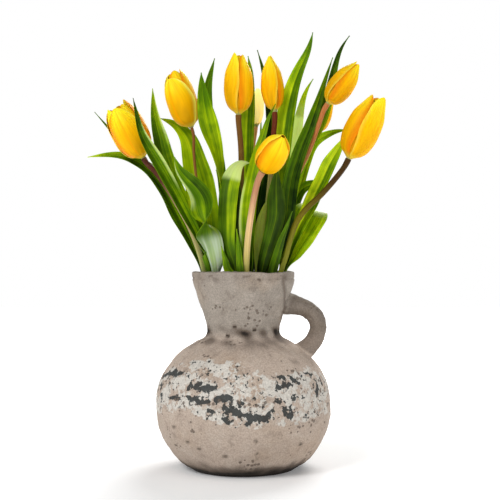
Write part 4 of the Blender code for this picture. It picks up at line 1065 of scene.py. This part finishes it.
def roughenJug(mesh):
    # Moves each point along its normal by slow lumps, fine grain, a groove under the rim and small
    # pits, and writes how much lime crust, slate, and soil with painted shade lies there.
    look = jugSkin
    seed = look["seed"]
    count = len(mesh.vertices)
    spot, normal = np.empty((2, count * 3), np.float32)
    mesh.vertices.foreach_get("co", spot)
    mesh.vertices.foreach_get("normal", normal)
    spot = spot.reshape(-1, 3).astype(float) / mm
    normal = normal.reshape(-1, 3).astype(float)
    radial = np.linalg.norm(spot[:, :2], axis=1)
    height = spot[:, 2]
    standing = smoothStep(0.5, 6, height)
    onFoot = height < 0.5
    lumps = softNoise(spot, 46, seed) * look["lumps"] + softNoise(spot, 14, seed + 1) * look["bumps"]
    grain = softNoise(spot, 5.5, seed + 2, 48) * look["grain"]
    grooveAt = look["groove"] + 0.5 * softNoise(spot, 40, seed + 3)
    outside = (radial > 47.5) & (height > 180)
    groove = np.where(outside, -look["grooveDepth"] * ringBand(height, grooveAt, 1.0), 0)
    draw = np.random.default_rng(seed)
    pits = spot[draw.integers(0, count, look["pits"])]
    sizes = draw.uniform(*look["pitSizes"], look["pits"])
    depth = np.zeros(count)
    for pit, size in zip(pits, sizes):
        depth += look["pitDepth"] * size * np.exp(-(((spot - pit) ** 2).sum(axis=1)) / size**2)
    move = (lumps + grain) * standing + groove - np.minimum(depth, look["deepestPit"]) * standing
    move = np.where(onFoot, np.minimum(move, 0), move)
    moved = spot + normal * np.clip(move, -look["mostIn"], look["mostOut"])[:, None]
    moved[:, 2] = np.where(onFoot, height, np.maximum(moved[:, 2], 0.05))
    mesh.vertices.foreach_set("co", (moved * mm).ravel().astype(np.float32))

    arc = np.arctan2(spot[:, 0], -spot[:, 1]) * jugLook["belly"]
    ragged = softNoise(spot, 11, seed + 8) * 2.2 + softNoise(spot, 5, seed + 9) * 1.2
    patch = softNoise(spot, 20, seed + 7)
    slow = softNoise(spot, 42, seed + 6)
    edges = [np.array([onJug(*point) for point in crustLines[name]]) for name in ("top", "low")]
    topHere, lowHere = (np.interp(arc, edge[:, 0], edge[:, 1]) + ragged for edge in edges)
    belt = smoothStep(-5, 5, height - lowHere) * (1 - smoothStep(-5, 5, height - topHere))
    profile = np.array(jugLook["profile"])
    beyond = radial - np.interp(height, profile[:, 1], profile[:, 0])
    inside = (beyond < -3) & (height > 12)
    onWall = 1 - smoothStep(1.5, 4, beyond)
    onBody = (1 - smoothStep(1.5, 3, beyond)) * (radial > 40) * (height < 128)
    crust = onBody * np.clip(belt * (0.44 + 0.11 * patch) + 0.1 * (height > 30), 0, 0.66)
    front = (arc > -125) & (arc < 125)  # the lime belt's marks at the back come from a rule
    chain = np.where(front, 0, smoothStep(0.55, 1.0, slow) * belt)
    slate = np.maximum(markShare(arc + ragged * 0.4, height + ragged * 0.4, slateMarks) * front, chain)
    slate = onBody * (0.16 + 0.15 * belt + 0.31 * slate)
    # painted shade: the foot darkens to near black, partly soil and partly the shade under the jug
    foot = 1 - smoothStep(3, 17, height + 2 * patch)
    # darker in the crease under the neck, on the shoulder, at the rim, inside and on the handle
    crease = ringBand(height, 136.5, 4) * np.clip(0.55 + 0.4 * patch, 0.1, 0.85)
    shoulder = ringBand(height, 130, 9) * np.clip(0.25 + 0.25 * patch, 0, 0.5)
    rim = ringBand(height, 190, 5) * (0.16 + 0.35 * smoothStep(0.4, 1.6, patch))
    handle = smoothStep(2, 6, beyond) * (height > 100) * 0.4
    soilAndShade = 0.95 * foot + (crease + shoulder + rim) * onWall + 0.25 * inside + handle
    soilAndShade = np.clip(np.maximum(soilAndShade, markShare(arc, height, soilAndShadeMarks) * ~inside * (beyond < 3)), 0, 1)
    upper = smoothStep(126, 140, height)
    for name, value in (("crust", crust), ("slate", slate), ("soilAndShade", soilAndShade), ("upper", upper)):
        mesh.attributes.new(name, "FLOAT", "POINT").data.foreach_set("value", value.astype(np.float32))


def makeJug():
    # The wall is one closed surface: the outer side up to the rim, a rounded lip and the inner side
    # down to the floor. The handle is a tube that flares where it runs into the wall.
    outer = jugOutline(jugLook["rows"])
    inner = innerOutline(outer)
    lipRadius = (outer[-1, 0] - inner[-1, 0]) / 2
    lipCentre = (outer[-1] + inner[-1]) / 2
    lip = np.linspace(0, np.pi, 12)[1:-1, None]
    lip = lipCentre + np.concatenate([np.cos(lip) * lipRadius, np.sin(lip) * jugLook["lip"] * mm], axis=1)
    outline = np.vstack([outer, lip, inner[::-1]])
    jug = meshObject("stonewareJug", [turnedPart(outline, jugLook["around"])], [stoneware])
    line = smoothLine([(x, 0, z) for x, z in jugLook["handleLine"]], 90) * mm
    t = np.linspace(0, 1, 90)
    flare = np.exp(-(t / 0.17) ** 2) + np.exp(-((1 - t) / 0.16) ** 2)
    radius = (jugLook["handleThick"] / 2 + jugLook["handleFlare"] * flare) * mm
    handle = tubePart(line, radius, 56)
    handle["vertices"][:, 1] *= jugLook["handleWide"] / jugLook["handleThick"]
    return jug, meshObject("handle", [handle], [stoneware])


print("jug")
jug, handle = makeJug()
# a plug of the jug's hollow is cut from the handle, so that none of it stands inside
hollow = innerOutline(jugOutline(jugLook["rows"]), -0.5 * mm)
cutOrJoin(handle, meshObject("plug", [turnedPart(hollow, 96)], [stoneware]), "DIFFERENCE")
cutOrJoin(jug, handle, "UNION")
roughenJug(jug.data)
jug.data.shade_smooth()
place(jug, "jug", "stoneware")


waterLook = {"top": 110, "climb": 0.9, "climbReach": 1.6, "gap": 0.3, "around": 96, "holeTop": 116}  # mm


def makeWater():
    # Water up to its top, with an edge that climbs the wall a little, and a hole for each stem.
    look = waterLook
    top = look["top"] * mm
    inner = innerOutline(jugOutline(jugLook["rows"]), look["gap"] * mm)
    below = inner[inner[:, 1] < top]
    wallRadius = below[-1, 0]
    share = np.linspace(0, 1, 40)[1:-1]
    climb = look["climb"] * mm * np.exp(-share * wallRadius / (look["climbReach"] * mm))
    surface = np.stack([wallRadius * (1 - share), top + climb], axis=1)
    edge = np.array([[wallRadius, (look["top"] + look["climb"]) * mm]])
    outline = np.vstack([below, edge, surface])
    water = meshObject("jugWater", [turnedPart(outline, look["around"])], [clearWater])
    for stem in stems.values():
        x, y = stem["neck"]
        line = np.linspace((x, y, 0), (x, y, look["holeTop"]), 4) * mm
        hole = tubePart(line, np.full(4, (stem["radius"] + look["gap"]) * mm), 20)
        cutOrJoin(water, meshObject("hole", [hole], [clearWater]), "DIFFERENCE")
    return water


print("water")
place(makeWater(), "water", "water")

studio = {
    "floor": 3.0, "worldForCamera": 1.0, "worldForLight": 0.36, "floorGlow": (0.12, 1.0),
    "key": {"at": (-1.1, -1.5, 1.5), "size": 0.9, "power": 27},
    "fill": {"at": (1.5, -1.0, 0.7), "size": 1.2, "power": 5},
    "back": {"at": (0.5, 1.3, 1.3), "size": 1.2, "power": 26},
}


def makeStudio():
    # A white world and floor, three lamps and the camera. The floor glows more away from the jug, so that
    # it ends in plain white, and the world is brighter to the camera than as a light.
    scene = bpy.context.scene
    world = bpy.data.worlds.new("white studio")
    scene.world = world
    world.use_nodes = True
    tree = world.node_tree
    background = tree.nodes["Background"]
    path = add(tree, "ShaderNodeLightPath")
    strength = add(tree, "ShaderNodeMapRange", {0: path.outputs["Is Camera Ray"], 3: studio["worldForLight"],
                                                4: studio["worldForCamera"]})
    tree.links.new(strength.outputs[0], background.inputs["Strength"])
    background.inputs["Color"].default_value = (1, 1, 1, 1)

    mesh = bpy.data.meshes.new("floor")
    half = studio["floor"]
    corners = [(-half, -half, 0), (half, -half, 0), (half, half, 0), (-half, half, 0)]
    mesh.from_pydata(corners, [], [(0, 1, 2, 3)])
    floor = bpy.data.objects.new("floor", mesh)
    scene.collection.objects.link(floor)
    paper, paperTree, shader = newMaterial("white paper", 0.9, {})
    spot = add(paperTree, "ShaderNodeTexCoord").outputs["Object"]
    grain = add(paperTree, "ShaderNodeTexNoise", {"Vector": spot, "Scale": 300.0, "Detail": 2.0})
    paperTree.links.new(blend(paperTree, (0.9, 0.9, 0.9), (0.92, 0.92, 0.92), grain.outputs[0]),
                        shader.inputs["Base Color"])
    shader.inputs["Emission Color"].default_value = (1, 1, 1, 1)
    away = add(paperTree, "ShaderNodeVectorMath", {0: spot}, operation="LENGTH").outputs["Value"]
    glow = ranged(paperTree, away, 0.12, 0.6, *studio["floorGlow"])
    paperTree.links.new(glow, shader.inputs["Emission Strength"])
    mesh.materials.append(paper)

    for name in ("key", "fill", "back"):
        facts = studio[name]
        lamp = bpy.data.lights.new(name, "AREA")
        lamp.shape = "DISK"
        lamp.size = facts["size"]
        lamp.energy = facts["power"]
        light = bpy.data.objects.new(name, lamp)
        light.location = facts["at"]
        aim = Vector((0, 0, 0.2)) - light.location
        light.rotation_euler = aim.to_track_quat("-Z", "Y").to_euler()
        scene.collection.objects.link(light)

    camera = bpy.data.cameras.new("camera")
    camera.lens = viewPoint["lens"]
    camera.sensor_width = 36
    camera.clip_end = 20
    stand = bpy.data.objects.new("camera", camera)
    stand.location = (viewPoint["x"] * mm, viewPoint["y"] * mm, viewPoint["z"] * mm)
    stand.rotation_euler = (math.pi / 2, 0, 0)
    scene.collection.objects.link(stand)
    scene.camera = stand
    scene.view_settings.view_transform = "Standard"


print("studio")
makeStudio()
